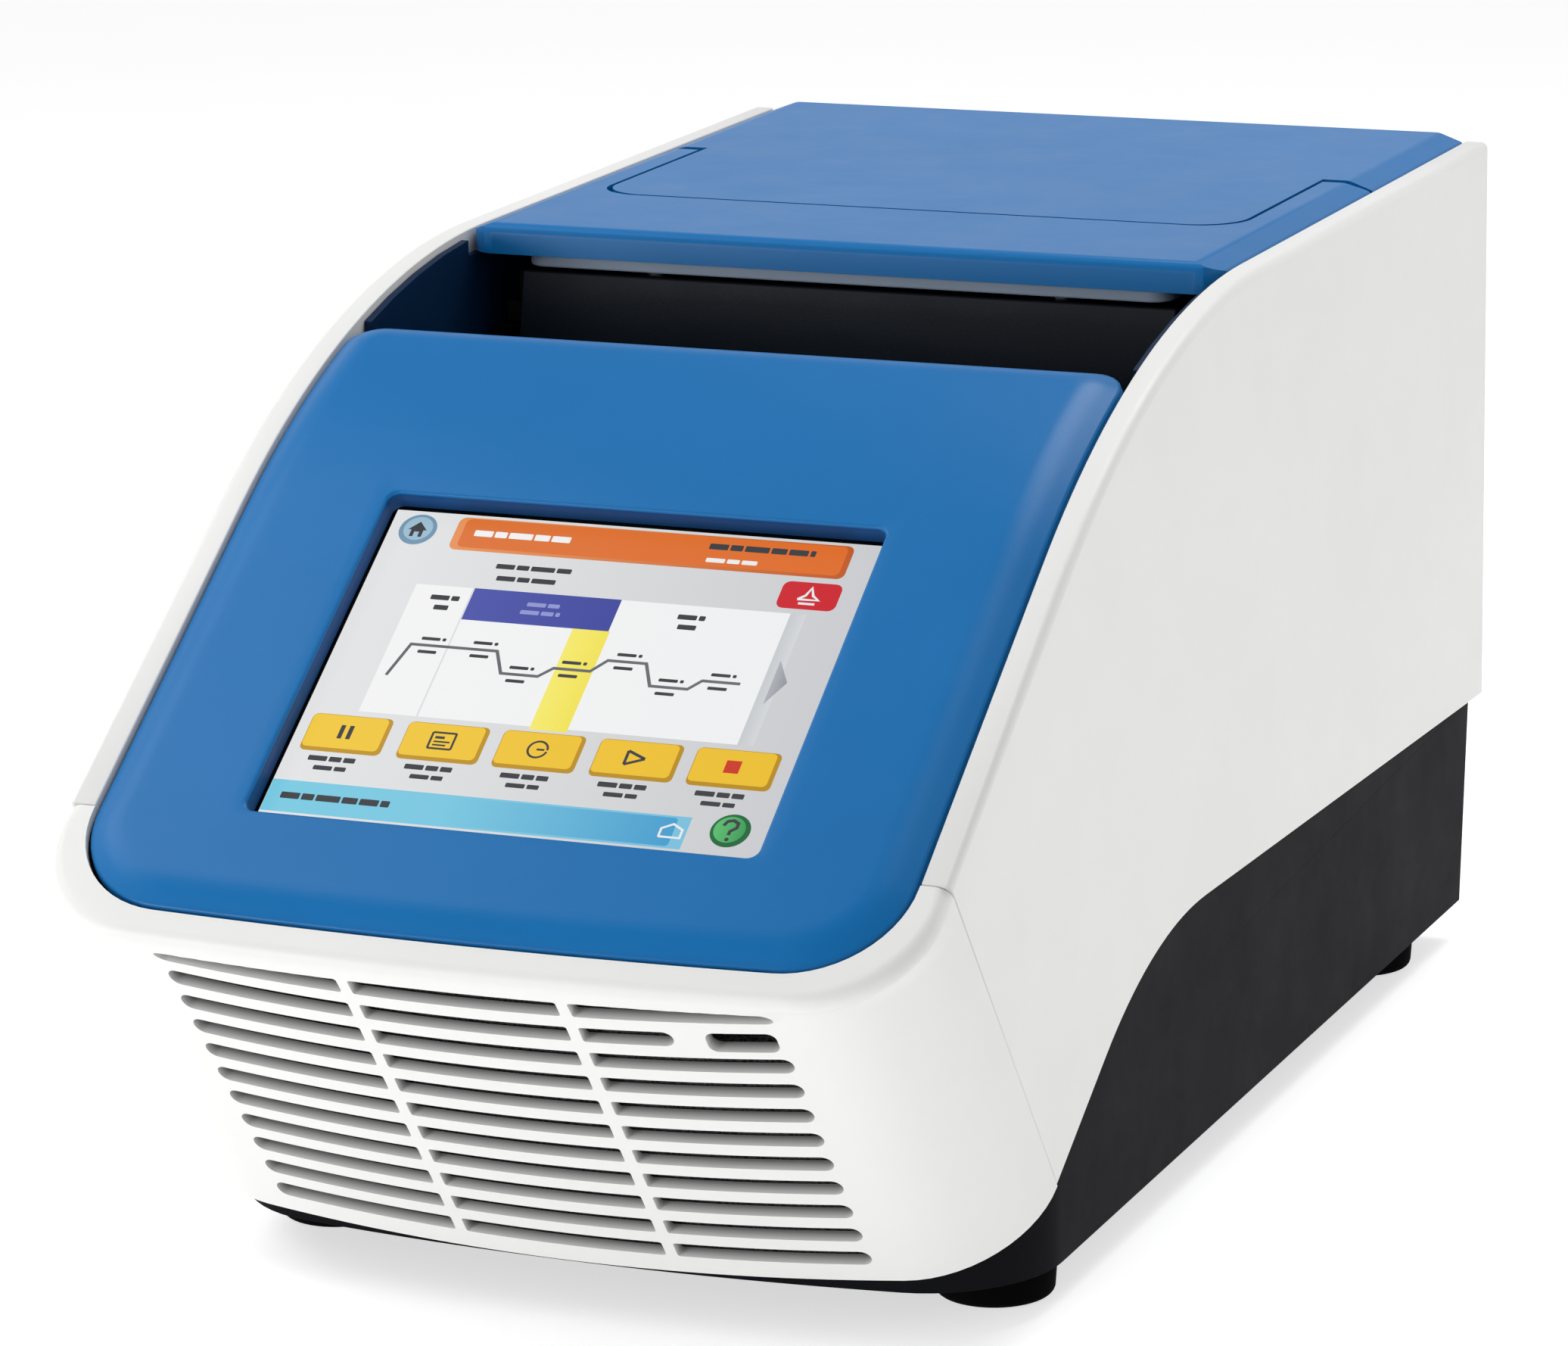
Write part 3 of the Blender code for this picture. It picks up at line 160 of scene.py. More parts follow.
def add_lighting():
    world = bpy.data.worlds.new("studio")
    bpy.context.scene.world = world
    world.use_nodes = True
    tree = world.node_tree
    split = tree.nodes.new("ShaderNodeSeparateXYZ")
    tune(split, Vector=tree.nodes.new("ShaderNodeTexCoord").outputs["Generated"])
    ramp = tree.nodes.new("ShaderNodeValToRGB")
    stops = ((0.12, (1.0, 1.0, 1.0, 1.0)), (0.55, (0.42, 0.42, 0.43, 1.0)))
    for element, (height, colour) in zip(ramp.color_ramp.elements, stops):
        element.position = height
        element.color = colour
    tune(ramp, Fac=split.outputs["Z"])
    tune(tree.nodes["Background"], Color=ramp.outputs["Color"], Strength=0.86)
    add_light("key", (-0.85, -0.25, 1.0), (0, -0.05, 0.15), (0.9, 0.9), 6.5)
    add_light("left_front", (-0.85, -1.35, 0.14), (-0.10, 0.0, 0.23), (0.4, 0.3), 7.5)
    add_light("top", (0.2, 0.45, 1.25), (0, 0.05, 0.2), (0.7, 0.7), 9)
    add_light("side", (1.9, -0.4, 0.8), (0, 0, 0.12), (1.2, 1.2), 2.4)
    bpy.context.scene.view_settings.view_transform = "Standard"


# ---------------- materials
def tune(node, **values):
    """Set sockets by name, with an underscore for each space, to a value or to another node's output."""
    for key, value in values.items():
        socket = node.inputs[key.replace("_", " ")]
        if isinstance(value, bpy.types.NodeSocket):
            node.id_data.links.new(value, socket)
        else:
            socket.default_value = value


class Shader:
    """Small helper that wires nodes of one material."""

    def __init__(self, name):
        self.material = bpy.data.materials.new(name)
        self.material.use_nodes = True
        self.tree = self.material.node_tree
        self.surface = self.tree.nodes["Principled BSDF"]
        self.place = self.add("ShaderNodeTexCoord").outputs["Object"]

    def add(self, kind, **values):
        node = self.tree.nodes.new(kind)
        for key, value in values.items():
            setattr(node, key, value)
        return node

    def link(self, source, target):
        self.tree.links.new(source, target)

    def noise(self, scale, detail=2.0, stretch=(1, 1, 1), rough=0.5):
        mapping = self.add("ShaderNodeMapping")
        tune(mapping, Vector=self.place, Scale=stretch)
        node = self.add("ShaderNodeTexNoise")
        tune(node, Vector=mapping.outputs["Vector"], Scale=scale, Detail=detail, Roughness=rough)
        return node.outputs["Fac"]

    def ramp(self, source, stops):
        node = self.add("ShaderNodeValToRGB")
        while len(node.color_ramp.elements) < len(stops):
            node.color_ramp.elements.new(0.5)
        for element, (place, colour) in zip(node.color_ramp.elements, stops):
            element.position = place
            element.color = (*colour, 1.0)
        tune(node, Fac=source)
        return node.outputs["Color"]

    def span(self, source, start, end, bottom, top):
        node = self.add("ShaderNodeMapRange")
        tune(node, Value=source, From_Min=start, From_Max=end, To_Min=bottom, To_Max=top)
        return node.outputs["Result"]

    def bump(self, height, distance, strength=1.0, normal=None):
        node = self.add("ShaderNodeBump")
        tune(node, Distance=distance, Strength=strength, Height=height)
        if normal is not None:
            tune(node, Normal=normal)
        return node.outputs["Normal"]

    def done(self, **values):
        """Set the surface's sockets and hand over the finished material."""
        tune(self.surface, **values)
        return self.material


def shade(colour, factor):
    return tuple(min(1.0, channel * factor) for channel in colour)


def finish(name, colour, roughness, vary=0.05, grain=1800, depth=0.00003, metallic=0.0, spread=0.07,
           stretch=(1, 1, 1), mottle=14, gloss=0.3, ripple=2.0):
    """Moulded or painted surface: mottled colour, uneven gloss, faint handling marks and a fine grain."""
    shader = Shader(name)
    cloud = shader.noise(mottle, 4.0, rough=0.6)
    base = shader.ramp(cloud, [(0.3, shade(colour, 1 - vary)), (0.7, shade(colour, 1 + vary))])
    marks = shader.span(shader.noise(38, 6.0, stretch, 0.7), 0.3, 0.7, roughness - spread, roughness + spread)
    soft = shader.bump(shader.noise(22), depth * ripple, 0.2)
    grained = shader.bump(shader.noise(grain, 2.0, stretch), depth, 0.8, soft)
    return shader.done(Base_Color=base, Roughness=marks, Normal=grained, Metallic=metallic,
                       Specular_IOR_Level=gloss)


def brushed(name, colour, roughness, direction):
    """Bare metal with fine lines along one axis."""
    stretch = tuple(0.02 if axis == direction else 1.0 for axis in "xyz")
    return finish(name, colour, roughness, 0.10, 900, 0.00002, 1.0, spread=0.10, stretch=stretch, mottle=30)


def open_foam(name, colour):
    """Reticulated foam: small dark cells between light strands."""
    shader = Shader(name)
    cells = shader.add("ShaderNodeTexVoronoi", feature="DISTANCE_TO_EDGE")
    tune(cells, Vector=shader.place, Scale=620)
    edge = cells.outputs["Distance"]
    tone = shader.ramp(edge, [(0.02, shade(colour, 1.5)), (0.25, shade(colour, 0.25))])
    return shader.done(Base_Color=tone, Normal=shader.bump(edge, 0.0008, 0.9), Roughness=0.95)


def circuit(name, colour):
    """Solder resist over copper tracks: fine raised lines in two directions."""
    shader = Shader(name)
    tracks = shader.add("ShaderNodeTexBrick")
    tune(tracks, Vector=shader.place, Scale=90, Mortar_Size=0.03, Color1=(*colour, 1.0),
         Color2=(*shade(colour, 1.25), 1.0), Mortar=(*shade(colour, 2.2), 1.0))
    raised = shader.bump(tracks.outputs["Fac"], 0.0001, 0.6)
    return shader.done(Base_Color=tracks.outputs["Color"], Normal=raised, Roughness=0.35)


def linear(colour):
    """Linear colour of a screen colour given from 0 to 255."""
    return tuple((c / 255 / 12.92) if c <= 10 else ((c / 255 + 0.055) / 1.055) ** 2.4 for c in colour)


def lit(name, left, right, span=(-0.07, 0.07)):
    """Lit picture element under glass: colour runs from left to right, broken by a fine dot grid."""
    shader = Shader(name)
    split = shader.add("ShaderNodeSeparateXYZ")
    tune(split, Vector=shader.place)
    along = shader.span(split.outputs["X"], *span, 0.0, 1.0)
    tone = shader.ramp(along, [(0.0, linear(left)), (1.0, linear(right))])
    dots = shader.add("ShaderNodeTexBrick", offset=0.0)
    tune(dots, Vector=shader.place, Scale=2400, Mortar_Size=0.04, Color1=(1, 1, 1, 1),
         Color2=(0.97, 0.97, 0.97, 1), Mortar=(0.86, 0.86, 0.86, 1))
    mix = shader.add("ShaderNodeMix", data_type="RGBA", blend_type="MULTIPLY")
    tune(mix, Factor=1.0, A=tone, B=dots.outputs["Color"])
    return shader.done(Base_Color=(0.006, 0.006, 0.007, 1.0), Emission_Color=mix.outputs["Result"],
                       Emission_Strength=1.0, Roughness=0.3, Specular_IOR_Level=0.12)


def louvre(name, near, deep):
    """Wall of a louvre slot, darker with depth behind the bowed front face: painted shade inside the slot."""
    shader = Shader(name)
    along = shader.add("ShaderNodeVectorMath", operation="DOT_PRODUCT")
    along.inputs[1].default_value = FACE_IN
    shader.link(shader.place, along.inputs[0])
    split = shader.add("ShaderNodeSeparateXYZ")
    tune(split, Vector=shader.place)
    square = shader.add("ShaderNodeMath", operation="MULTIPLY")
    shader.link(split.outputs["X"], square.inputs[0])
    shader.link(split.outputs["X"], square.inputs[1])
    bow = shader.add("ShaderNodeMath", operation="MULTIPLY_ADD")
    bow.inputs[1].default_value = -BOW_FACE / HALF_WIDTH ** 2
    shader.link(square.outputs["Value"], bow.inputs[0])
    shader.link(along.outputs["Value"], bow.inputs[2])
    surface = CHIN.dot(FACE_IN)
    # painted shade: light at the face, dark at the back of the wall
    depth = shader.span(bow.outputs["Value"], surface, surface + WALL, 0.0, 1.0)
    tone = shader.ramp(depth, [(0.05, near), (0.95, deep)])
    grained = shader.bump(shader.noise(2200), 0.00002, 0.8)
    return shader.done(Base_Color=tone, Normal=grained, Roughness=0.5, Specular_IOR_Level=0.2)


MATERIALS = {
    "white_plastic": finish("white_plastic", (0.705, 0.705, 0.69), 0.42, vary=0.010, grain=2200,
                            depth=0.000018),
    "blue_plastic": finish("blue_plastic", (0.002, 0.128, 0.362), 0.36, vary=0.025, grain=2200, depth=0.00002,
                           gloss=0.2, spread=0.025, ripple=0.5),
    "dark_blue_plastic": finish("dark_blue_plastic", (0.001, 0.016, 0.052), 0.5, vary=0.08, gloss=0.12),
    "charcoal_plastic": finish("charcoal_plastic", (0.0055, 0.0058, 0.0075), 0.55, vary=0.12, depth=0.00004,
                               gloss=0.025, spread=0.04, ripple=0.5),
    "black_plastic": finish("black_plastic", (0.006, 0.006, 0.007), 0.45, vary=0.15, gloss=0.2),
    # lighter and bluer than the plastic's own grey, so the liner in the lip's shadow still shows light:
    # partly its own grey, partly painted light
    "grey_plastic": finish("grey_plastic", (0.34, 0.42, 0.53), 0.45, vary=0.06),
    "black_rubber": finish("black_rubber", (0.0018, 0.0018, 0.002), 0.8, vary=0.2, grain=1100,
                           depth=0.00006, gloss=0.02),
    "silicone": finish("silicone", (0.36, 0.35, 0.33), 0.55, vary=0.06),
    # near black, so the nylon parts stay as dark as the shaded recess around them: painted shade
    "nylon": finish("nylon", (0.012, 0.012, 0.014), 0.45, vary=0.08, gloss=0.2),
    "painted_steel": finish("painted_steel", (0.10, 0.102, 0.108), 0.5, vary=0.06, grain=1300,
                            depth=0.00008),
    "steel": brushed("steel", (0.55, 0.55, 0.56), 0.32, "y"),
    "aluminium": brushed("aluminium", (0.72, 0.73, 0.74), 0.36, "x"),
    "ceramic": finish("ceramic", (0.72, 0.71, 0.67), 0.5, vary=0.03),
    "screen_glass": finish("screen_glass", (0.004, 0.004, 0.005), 0.12, vary=0.2, depth=0.000002,
                           spread=0.03),
    "display_module": brushed("display_module", (0.48, 0.48, 0.50), 0.4, "x"),
    "circuit_board": circuit("circuit_board", (0.012, 0.09, 0.035)),
    "foam": open_foam("foam", (0.05, 0.05, 0.052)),
    "filter_foam": open_foam("filter_foam", (0.040, 0.040, 0.043)),
}
# near-black steel, so the rails, carriage and pins in the recess under the cover stay dark: painted shade
RECESS_SHADE_STEEL = finish("dark_steel_painted_shade", (0.018, 0.018, 0.020), 0.4, vary=0.15, metallic=0.7)
# slot walls with painted shade, light near the face and dark deeper in
LOUVRE_SHADE_WALL = louvre("louvre_wall_painted_shade", (0.74, 0.74, 0.73), (0.19, 0.19, 0.19))
RECESS_PLASTIC = finish("recess_plastic", (0.009, 0.0125, 0.019), 0.42, vary=0.1, depth=0.00004,
                        gloss=0.22)
# darker blue for the window's inner walls: painted shade in the screen recess
WINDOW_WALL_SHADE = finish("window_wall_painted_shade", (0.002, 0.052, 0.185), 0.5, vary=0.05, gloss=0.15)


# ---------------- shape tools
def sweep(outline, start, end, place):
    """Closed solid: a flat outline carried from start to end along the third coordinate."""
    shape = bmesh.new()
    bottom = [shape.verts.new(place(a, b, start)) for a, b in outline]
    top = [shape.verts.new(place(a, b, end)) for a, b in outline]
    return close_rings(shape, [bottom, top])


def close_rings(shape, rings):
    """Skin between rings of points, with a flat face over the first and the last ring."""
    shape.faces.new(rings[0])
    shape.faces.new(reversed(rings[-1]))
    return skin(shape, rings, False)


def skin(shape, rings, closed):
    """Faces between neighbouring rings, and from the last to the first ring if closed."""
    pairs = list(zip(rings, rings[1:]))
    if closed:
        pairs.append((rings[-1], rings[0]))
    for near, far in pairs:
        for i in range(len(near)):
            j = (i + 1) % len(near)
            shape.faces.new((near[j], near[i], far[i], far[j]))
    bmesh.ops.recalc_face_normals(shape, faces=shape.faces)
    return shape


def along_x(y, z, x):
    return (x, y, z)


def along_y(x, z, y):
    return (x, y, z)


def along_z(x, y, z):
    return (x, y, z)


def face_point(x, depth, down):
    return CHIN + Vector((x, 0, 0)) + FACE_IN * depth + FACE_DOWN * down


def into_face(x, down, depth):
    return face_point(x, depth, down)


def slope_point(x, up, depth):
    """Point at a distance up the control panel and round the top arc, at a depth below the rim."""
    straight = (ARC_Y - ARC_RADIUS * sin(SLOPE) - CHIN.y) / cos(SLOPE)
    if up <= straight:
        return CHIN + Vector((x, 0, 0)) + UP_SLOPE * up + SLOPE_IN * depth
    angle = SLOPE - (up - straight) / ARC_RADIUS
    radius = ARC_RADIUS - depth
    return Vector((x, ARC_Y - radius * sin(angle), RIM_TOP - ARC_RADIUS + radius * cos(angle)))


def box(corner, opposite):
    outline = rectangle(corner[0], opposite[0], corner[1], opposite[1])
    return sweep(outline, corner[2], opposite[2], along_z)


def rectangle(x0, x1, y0, y1):
    return [(x0, y0), (x1, y0), (x1, y1), (x0, y1)]


def round_angles(sides):
    return [2 * pi * i / sides for i in range(sides)]


def quarter(steps):
    """Angles from zero to a right angle."""
    return [pi / 2 * i / steps for i in range(steps + 1)]


def circle(x, y, radius, sides=32):
    return [(x + radius * cos(t), y + radius * sin(t)) for t in round_angles(sides)]


def bowed_corner(half, radius, front, bow, flats, turns):
    """Right half of a bowed edge and its rounded corner, from the middle outwards."""
    straight = half - radius
    spots = [(straight * i / flats, 0.0) for i in range(flats + 1)]
    spots += [(straight + radius * sin(a), radius * (1 - cos(a))) for a in quarter(turns)[1:]]
    return [(x, front + bow * (x / half) ** 2 + back) for x, back in spots]


def both_halves(right):
    """Open outline made of a right half and its mirror image, left end first."""
    return [(-x, y) for x, y in reversed(right[1:])] + right


def rounded(points, radii, steps=6):
    """Closed outline with each corner replaced by an arc of its own radius."""
    result = []
    count = len(points)
    for i, (x, y) in enumerate(points):
        here = Vector((x, y))
        radius = radii[i] if isinstance(radii, (list, tuple)) else radii
        if radius <= 0:
            result.append((x, y))
            continue
        back = (Vector(points[i - 1]) - here).normalized()
        ahead = (Vector(points[(i + 1) % count]) - here).normalized()
        half = back.angle(ahead) / 2
        centre = here + (back + ahead).normalized() * (radius / sin(half))
        start = here + back * (radius / tan(half)) - centre
        end = here + ahead * (radius / tan(half)) - centre
        turn = atan2(start.cross(end), start.dot(end))
        for k in range(steps + 1):
            c, s = cos(turn * k / steps), sin(turn * k / steps)
            result.append((centre.x + c * start.x - s * start.y, centre.y + s * start.x + c * start.y))
    return result


def moved_in(outline, insets):
    """Anticlockwise outline with each edge moved in by its own amount; edge i starts at point i."""
    result = []
    for i, point in enumerate(outline):
        here = Vector(point)
        u = (here - Vector(outline[i - 1])).normalized()
        v = (Vector(outline[(i + 1) % len(outline)]) - here).normalized()
        a, b = Vector((-u.y, u.x)), Vector((-v.y, v.x))
        turn = a.cross(b)
        if abs(turn) < 0.05:
            here = here + (a + b) / 2 * (insets[i - 1] + insets[i]) / 2
        else:
            before, after = insets[i - 1], insets[i]
            here = here + Vector((before * b.y - after * a.y, after * a.x - before * b.x)) / turn
        result.append((here.x, here.y))
    return result


def soft_slab(outline, start, end, radii, place, back=0.0004, steps=6):
    """Swept outline whose far edge is rounded by each outline edge's own radius."""
    sign = 1 if end > start else -1
    rings = [(moved_in(outline, [back] * len(outline)), [start] * len(outline)),
             (outline, [start + sign * back] * len(outline))]
    for angle in quarter(steps):
        levels = [end - sign * (radii[i - 1] + radii[i]) / 2 * (1 - sin(angle))
                  for i in range(len(outline))]
        rings.append((moved_in(outline, [r * (1 - cos(angle)) for r in radii]), levels))
    shape = bmesh.new()
    loops = [[shape.verts.new(place(a, b, level)) for (a, b), level in zip(points, levels)]
             for points, levels in rings]
    return close_rings(shape, loops)


def turned(axis, centre, profile, sides=40):
    """Turned solid; the profile is a list of (position along the axis, radius)."""
    shape = bmesh.new()
    rings = []
    for along, radius in profile:
        ring = []
        for a, b in circle(0, 0, radius, sides):
            spot = {"X": (along, a, b), "Y": (a, along, b), "Z": (a, b, along)}[axis]
            ring.append(shape.verts.new(Vector(centre) + Vector(spot)))
        rings.append(ring)
    return close_rings(shape, rings)


def merge(shapes):
    whole = bmesh.new()
    for shape in shapes:
        mesh = bpy.data.meshes.new("scratch")
        shape.to_mesh(mesh)
        shape.free()
        whole.from_mesh(mesh)
        bpy.data.meshes.remove(mesh)
    return whole


# ---------------- pieces
def make(name, shape):
    mesh = bpy.data.meshes.new(name)
    shape.to_mesh(mesh)
    shape.free()
    piece = bpy.data.objects.new(name, mesh)
    bpy.context.scene.collection.objects.link(piece)
    return piece


def settle(piece):
    """Apply the piece's modifiers to its mesh."""
    bpy.context.view_layer.update()
    mesh = bpy.data.meshes.new_from_object(piece.evaluated_get(bpy.context.evaluated_depsgraph_get()))
    old = piece.data
    piece.modifiers.clear()
    piece.data = mesh
    bpy.data.meshes.remove(old)
    mesh.name = piece.name


def carve(piece, shapes, operation="DIFFERENCE"):
    tool = make(piece.name + "_tool", merge(shapes))
    modifier = piece.modifiers.new("carve", "BOOLEAN")
    modifier.operation = operation
    modifier.solver = "EXACT"
    modifier.object = tool
    settle(piece)
    bpy.data.objects.remove(tool)


def soften(piece, width, segments=3, angle=38.0):
    """Small rounded edges and even shading."""
    bevel = piece.modifiers.new("soft_edges", "BEVEL")
    bevel.width = width
    bevel.segments = segments
    bevel.limit_method = "ANGLE"
    bevel.angle_limit = radians(angle)
    bevel.miter_outer = "MITER_ARC"
    even = piece.modifiers.new("even_shading", "WEIGHTED_NORMAL")
    even.keep_sharp = False
    even.weight = 60


def paint(piece, material):
    piece.data.materials.clear()
    piece.data.materials.append(material)


def place(piece, slot, body="chassis", *replaced, material=None, edge=0.0, segments=3, angle=38.0):
    """Give a new piece its finish, its body and the CAD nodes that it stands for."""
    paint(piece, material or MATERIALS[slot])
    piece.data.shade_smooth()
    if edge:
        soften(piece, edge, segments, angle)
    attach(piece, body)
    if replaced:
        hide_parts(*replaced)
    return piece


# ---------------- casing
def rim_height(y, offset):
    radius = ARC_RADIUS - offset
    centre_z = RIM_TOP - ARC_RADIUS
    sine = max(0.0, (ARC_Y - y) / radius)
    if sine < sin(SLOPE):
        return centre_z + radius * sqrt(1 - sine * sine)
    slope_y = ARC_Y - radius * sin(SLOPE)
    return centre_z + radius * cos(SLOPE) - (slope_y - y) * tan(SLOPE)


def rim_line(offset, rear, front):
    """Side view (y, z) of the top edge, moved inward by offset, rear to front."""
    radius = ARC_RADIUS - offset
    arc = [ARC_Y - radius * sin(SLOPE * i / ARC_STEPS) for i in range(ARC_STEPS + 1)]
    return [(y, rim_height(y, offset)) for y in [rear] + [y for y in arc if front < y < rear] + [front]]


def skirt_line():
    """Side view (y, z) of the white panel's lower edge, front to rear."""
    corner_y = ((SKIRT_REAR_Z + SKIRT_RISE * REAR_Y - SKIRT_Z + SKIRT_SLOPE * SKIRT_Y)
                / (SKIRT_SLOPE + SKIRT_RISE))
    corner = (corner_y, SKIRT_Z + SKIRT_SLOPE * (corner_y - SKIRT_Y))
    return rounded([(SKIRT_Y, SKIRT_Z), corner, (REAR_Y, SKIRT_REAR_Z)], [0, SKIRT_BEND, 0], steps=18)


def face_top(depth):
    return depth * tan(FACE_LEAN - SLOPE)


def face_bottom(depth, x):
    """How far down the face its lower edge is, at a depth behind it."""
    edge = SKIRT_Z - FRONT_SAG * (1 - (x / HALF_WIDTH) ** 2)
    rise = edge + SKIRT_SLOPE * (CHIN.y + FACE_IN.y * depth - SKIRT_Y) - CHIN.z - FACE_IN.z * depth
    return rise / (FACE_DOWN.z - SKIRT_SLOPE * FACE_DOWN.y)


def add_side_panels():
    seam = [face_point(0, SEAM_DEPTH + GAP, s)
            for s in (face_top(SEAM_DEPTH), face_bottom(SEAM_DEPTH, HALF_WIDTH))]
    rim = rim_line(0, REAR_Y, seam[0].y)
    skirt = [(seam[1].y, seam[1].z)] + skirt_line()[1:]
    radii = [RIM_ROUND] * (len(rim) - 1) + [SEAM_ROUND] + [SKIRT_ROUND] * (len(skirt) - 1) + [RIM_ROUND]
    pocket = rim_line(RIM_DEPTH, REAR_Y - WALL, -0.26) + [(-0.26, -0.02), (REAR_Y - WALL, -0.02)]
    for name, side in (("left", -1), ("right", 1)):
        shape = soft_slab(rim + skirt, side * RIM_INNER, side * HALF_WIDTH, radii, along_x)
        panel = make("casing_side_" + name, shape)
        carve(panel, [sweep(pocket, side * (RIM_INNER - 0.002), side * (HALF_WIDTH - WALL), along_x)])
        place(panel, "white_plastic", "chassis", "side_panel_" + name)
        even = panel.modifiers.new("even_shading", "WEIGHTED_NORMAL")
        even.weight = 70


def front_outline(half, radius, front, bow):
    """Half-wrapped outline of (x, depth), left seam to right seam."""
    return both_halves(bowed_corner(half, radius, front, bow, 14, 14) + [(half, SEAM_DEPTH)])


def front_piece_shape():
    """Shell with the chin rim on top, as a strip of sections round the outline."""
    top = front_outline(HALF_WIDTH, CORNER_RADIUS, 0.0, BOW_TOP)
    face = front_outline(HALF_WIDTH, CORNER_RADIUS, 0.0, BOW_FACE)
    inner = front_outline(HALF_WIDTH - WALL, CORNER_RADIUS - WALL, WALL, BOW_FACE)
    lip = front_outline(RIM_INNER, BEZEL_RADIUS + GAP, BEZEL_BOTTOM - GAP, BEZEL_BOW)
    rim = 0.0045
    shape = bmesh.new()
    sections = []
    for (tx, td), (fx, fd), (ix, inside), (lx, ld) in zip(top, face, inner, lip):
        toward = Vector((lx - tx, ld - td)).normalized() * CHIN_RADIUS
        places = [(fx, fd, face_bottom(fd, fx)), (fx, fd, 0.014)]
        for angle in quarter(7):
            along = toward * (1 - cos(angle))
            drop = CHIN_RADIUS * (1 - sin(angle))
            places.append((tx + along.x, td + along.y, face_top(td + along.y) + drop))
        places += [(lx, ld, face_top(ld)), (lx, ld, face_top(ld) + rim),
                   (ix, inside, face_top(inside) + rim), (ix, inside, face_bottom(inside, ix))]
        sections.append([shape.verts.new(face_point(*spot)) for spot in places])
    return close_rings(shape, sections)


def slot_shapes():
    shapes = []
    for row in range(SLOT_ROWS):
        middle = SLOT_FIRST + SLOT_PITCH * row
        for x0, x1 in SLOT_COLUMNS:
            if row == 1 and x0 > 0:
                x1 = USB_SLOT_END
            left, right = [SLOT_HEIGHT * (0.49 if abs(x) > 0.05 else 0.14) for x in (x0, x1)]
            outline = rounded(rectangle(x0, x1, middle - SLOT_HEIGHT / 2, middle + SLOT_HEIGHT / 2),
                              [left, right, right, left], steps=6)
            shapes.append(sweep(outline, -0.004, 0.013, into_face))
    x0, x1, s0, s1 = USB_OPENING
    shapes.append(sweep(rounded(rectangle(x0, x1, s0, s1), 0.0025), -0.004, 0.016, into_face))
    return shapes


def add_front_panel():
    panel = make("front_louvre_panel", front_piece_shape())
    carve(panel, slot_shapes())
    place(panel, "white_plastic", "chassis", "front_grille", edge=0.00045, angle=40)
    # the slot walls take the painted-shade material
    panel.data.materials.append(LOUVRE_SHADE_WALL)
    top, bottom = SLOT_FIRST - SLOT_HEIGHT, SLOT_FIRST + SLOT_PITCH * (SLOT_ROWS - 0.5)
    for polygon in panel.data.polygons:
        offset = polygon.center - CHIN
        if (abs(polygon.normal.dot(FACE_IN)) < 0.3 and abs(offset.x) < USB_OPENING[1] + 0.003
                and top < offset.dot(FACE_DOWN) < bottom):
            polygon.material_index = 1


def base_outline(inset):
    """Plan (x, y) of the base tray: bowed front with rounded corners."""
    corner, opposite = corners("base_chassis")
    half, front = opposite.x - inset, corner.y + inset
    rear = opposite.y if inset == 0 else 0.2275
    return both_halves(bowed_corner(half, CORNER_RADIUS - inset, front, 0.011, 8, 12) + [(half, rear)])


def add_base():
    bottom = low("base_chassis").z
    base = make("base_tray", sweep(base_outline(0), bottom, 0.092, along_z))
    carve(base, [sweep(base_outline(WALL), bottom + 0.0025, 0.12, along_z)])
    above = [(-0.20, 0.0165), (-0.158, 0.0165), (-0.130, 0.046), (-0.060, 0.088), (0.2265, 0.088),
             (0.2265, 0.0727), (0.26, 0.0727), (0.26, 0.12), (-0.20, 0.12)]
    behind = [(0.2400, 0.0735), (0.2315, 0.005), (0.27, 0.005), (0.27, 0.0735)]
    for outline in (above, behind):
        carve(base, [sweep(outline, -0.14, 0.14, along_x)])
    vents = [rounded(rectangle(x - 0.002, x + 0.002, 0.0, 0.08), 0.0019)
             for x in (-0.030, -0.015, 0.0, 0.015, 0.030)]
    carve(base, [sweep(vent, 0.005, 0.020, along_z) for vent in vents])
    place(base, "charcoal_plastic", "chassis", "base_chassis", edge=0.0012, angle=32)


def add_feet():
    for name in ("foot_front_left", "foot_front_right", "foot_rear_left", "foot_rear_right"):
        corner, opposite = corners(name)
        radius = (opposite.x - corner.x) / 2
        middle = (corner + opposite) / 2
        sole, roll = radius - 0.0030, 0.0022
        profile = [(0.0035, 0.0030), (0.0035, 0.0052), (0.0006, 0.0058), (0.0, 0.0066), (0.0, sole)]
        profile += [(roll * (1 - cos(a)), sole + roll * sin(a)) for a in quarter(6)]
        profile += [(opposite.z - 0.0012, radius - 0.0002), (opposite.z - 0.0004, radius - 0.0006),
                    (opposite.z, radius - 0.0012)]
        foot = make("rubber_" + name, turned("Z", (middle.x, middle.y, 0), profile, 48))
        place(foot, "black_rubber", "chassis", name)
        head = [(0.0022, 0.0010), (0.0018, 0.0016), (0.0018, 0.0026), (0.0024, 0.0029), (0.0034, 0.0029)]
        place(make("screw_" + name, turned("Z", (middle.x, middle.y, 0), head, 24)), "steel")


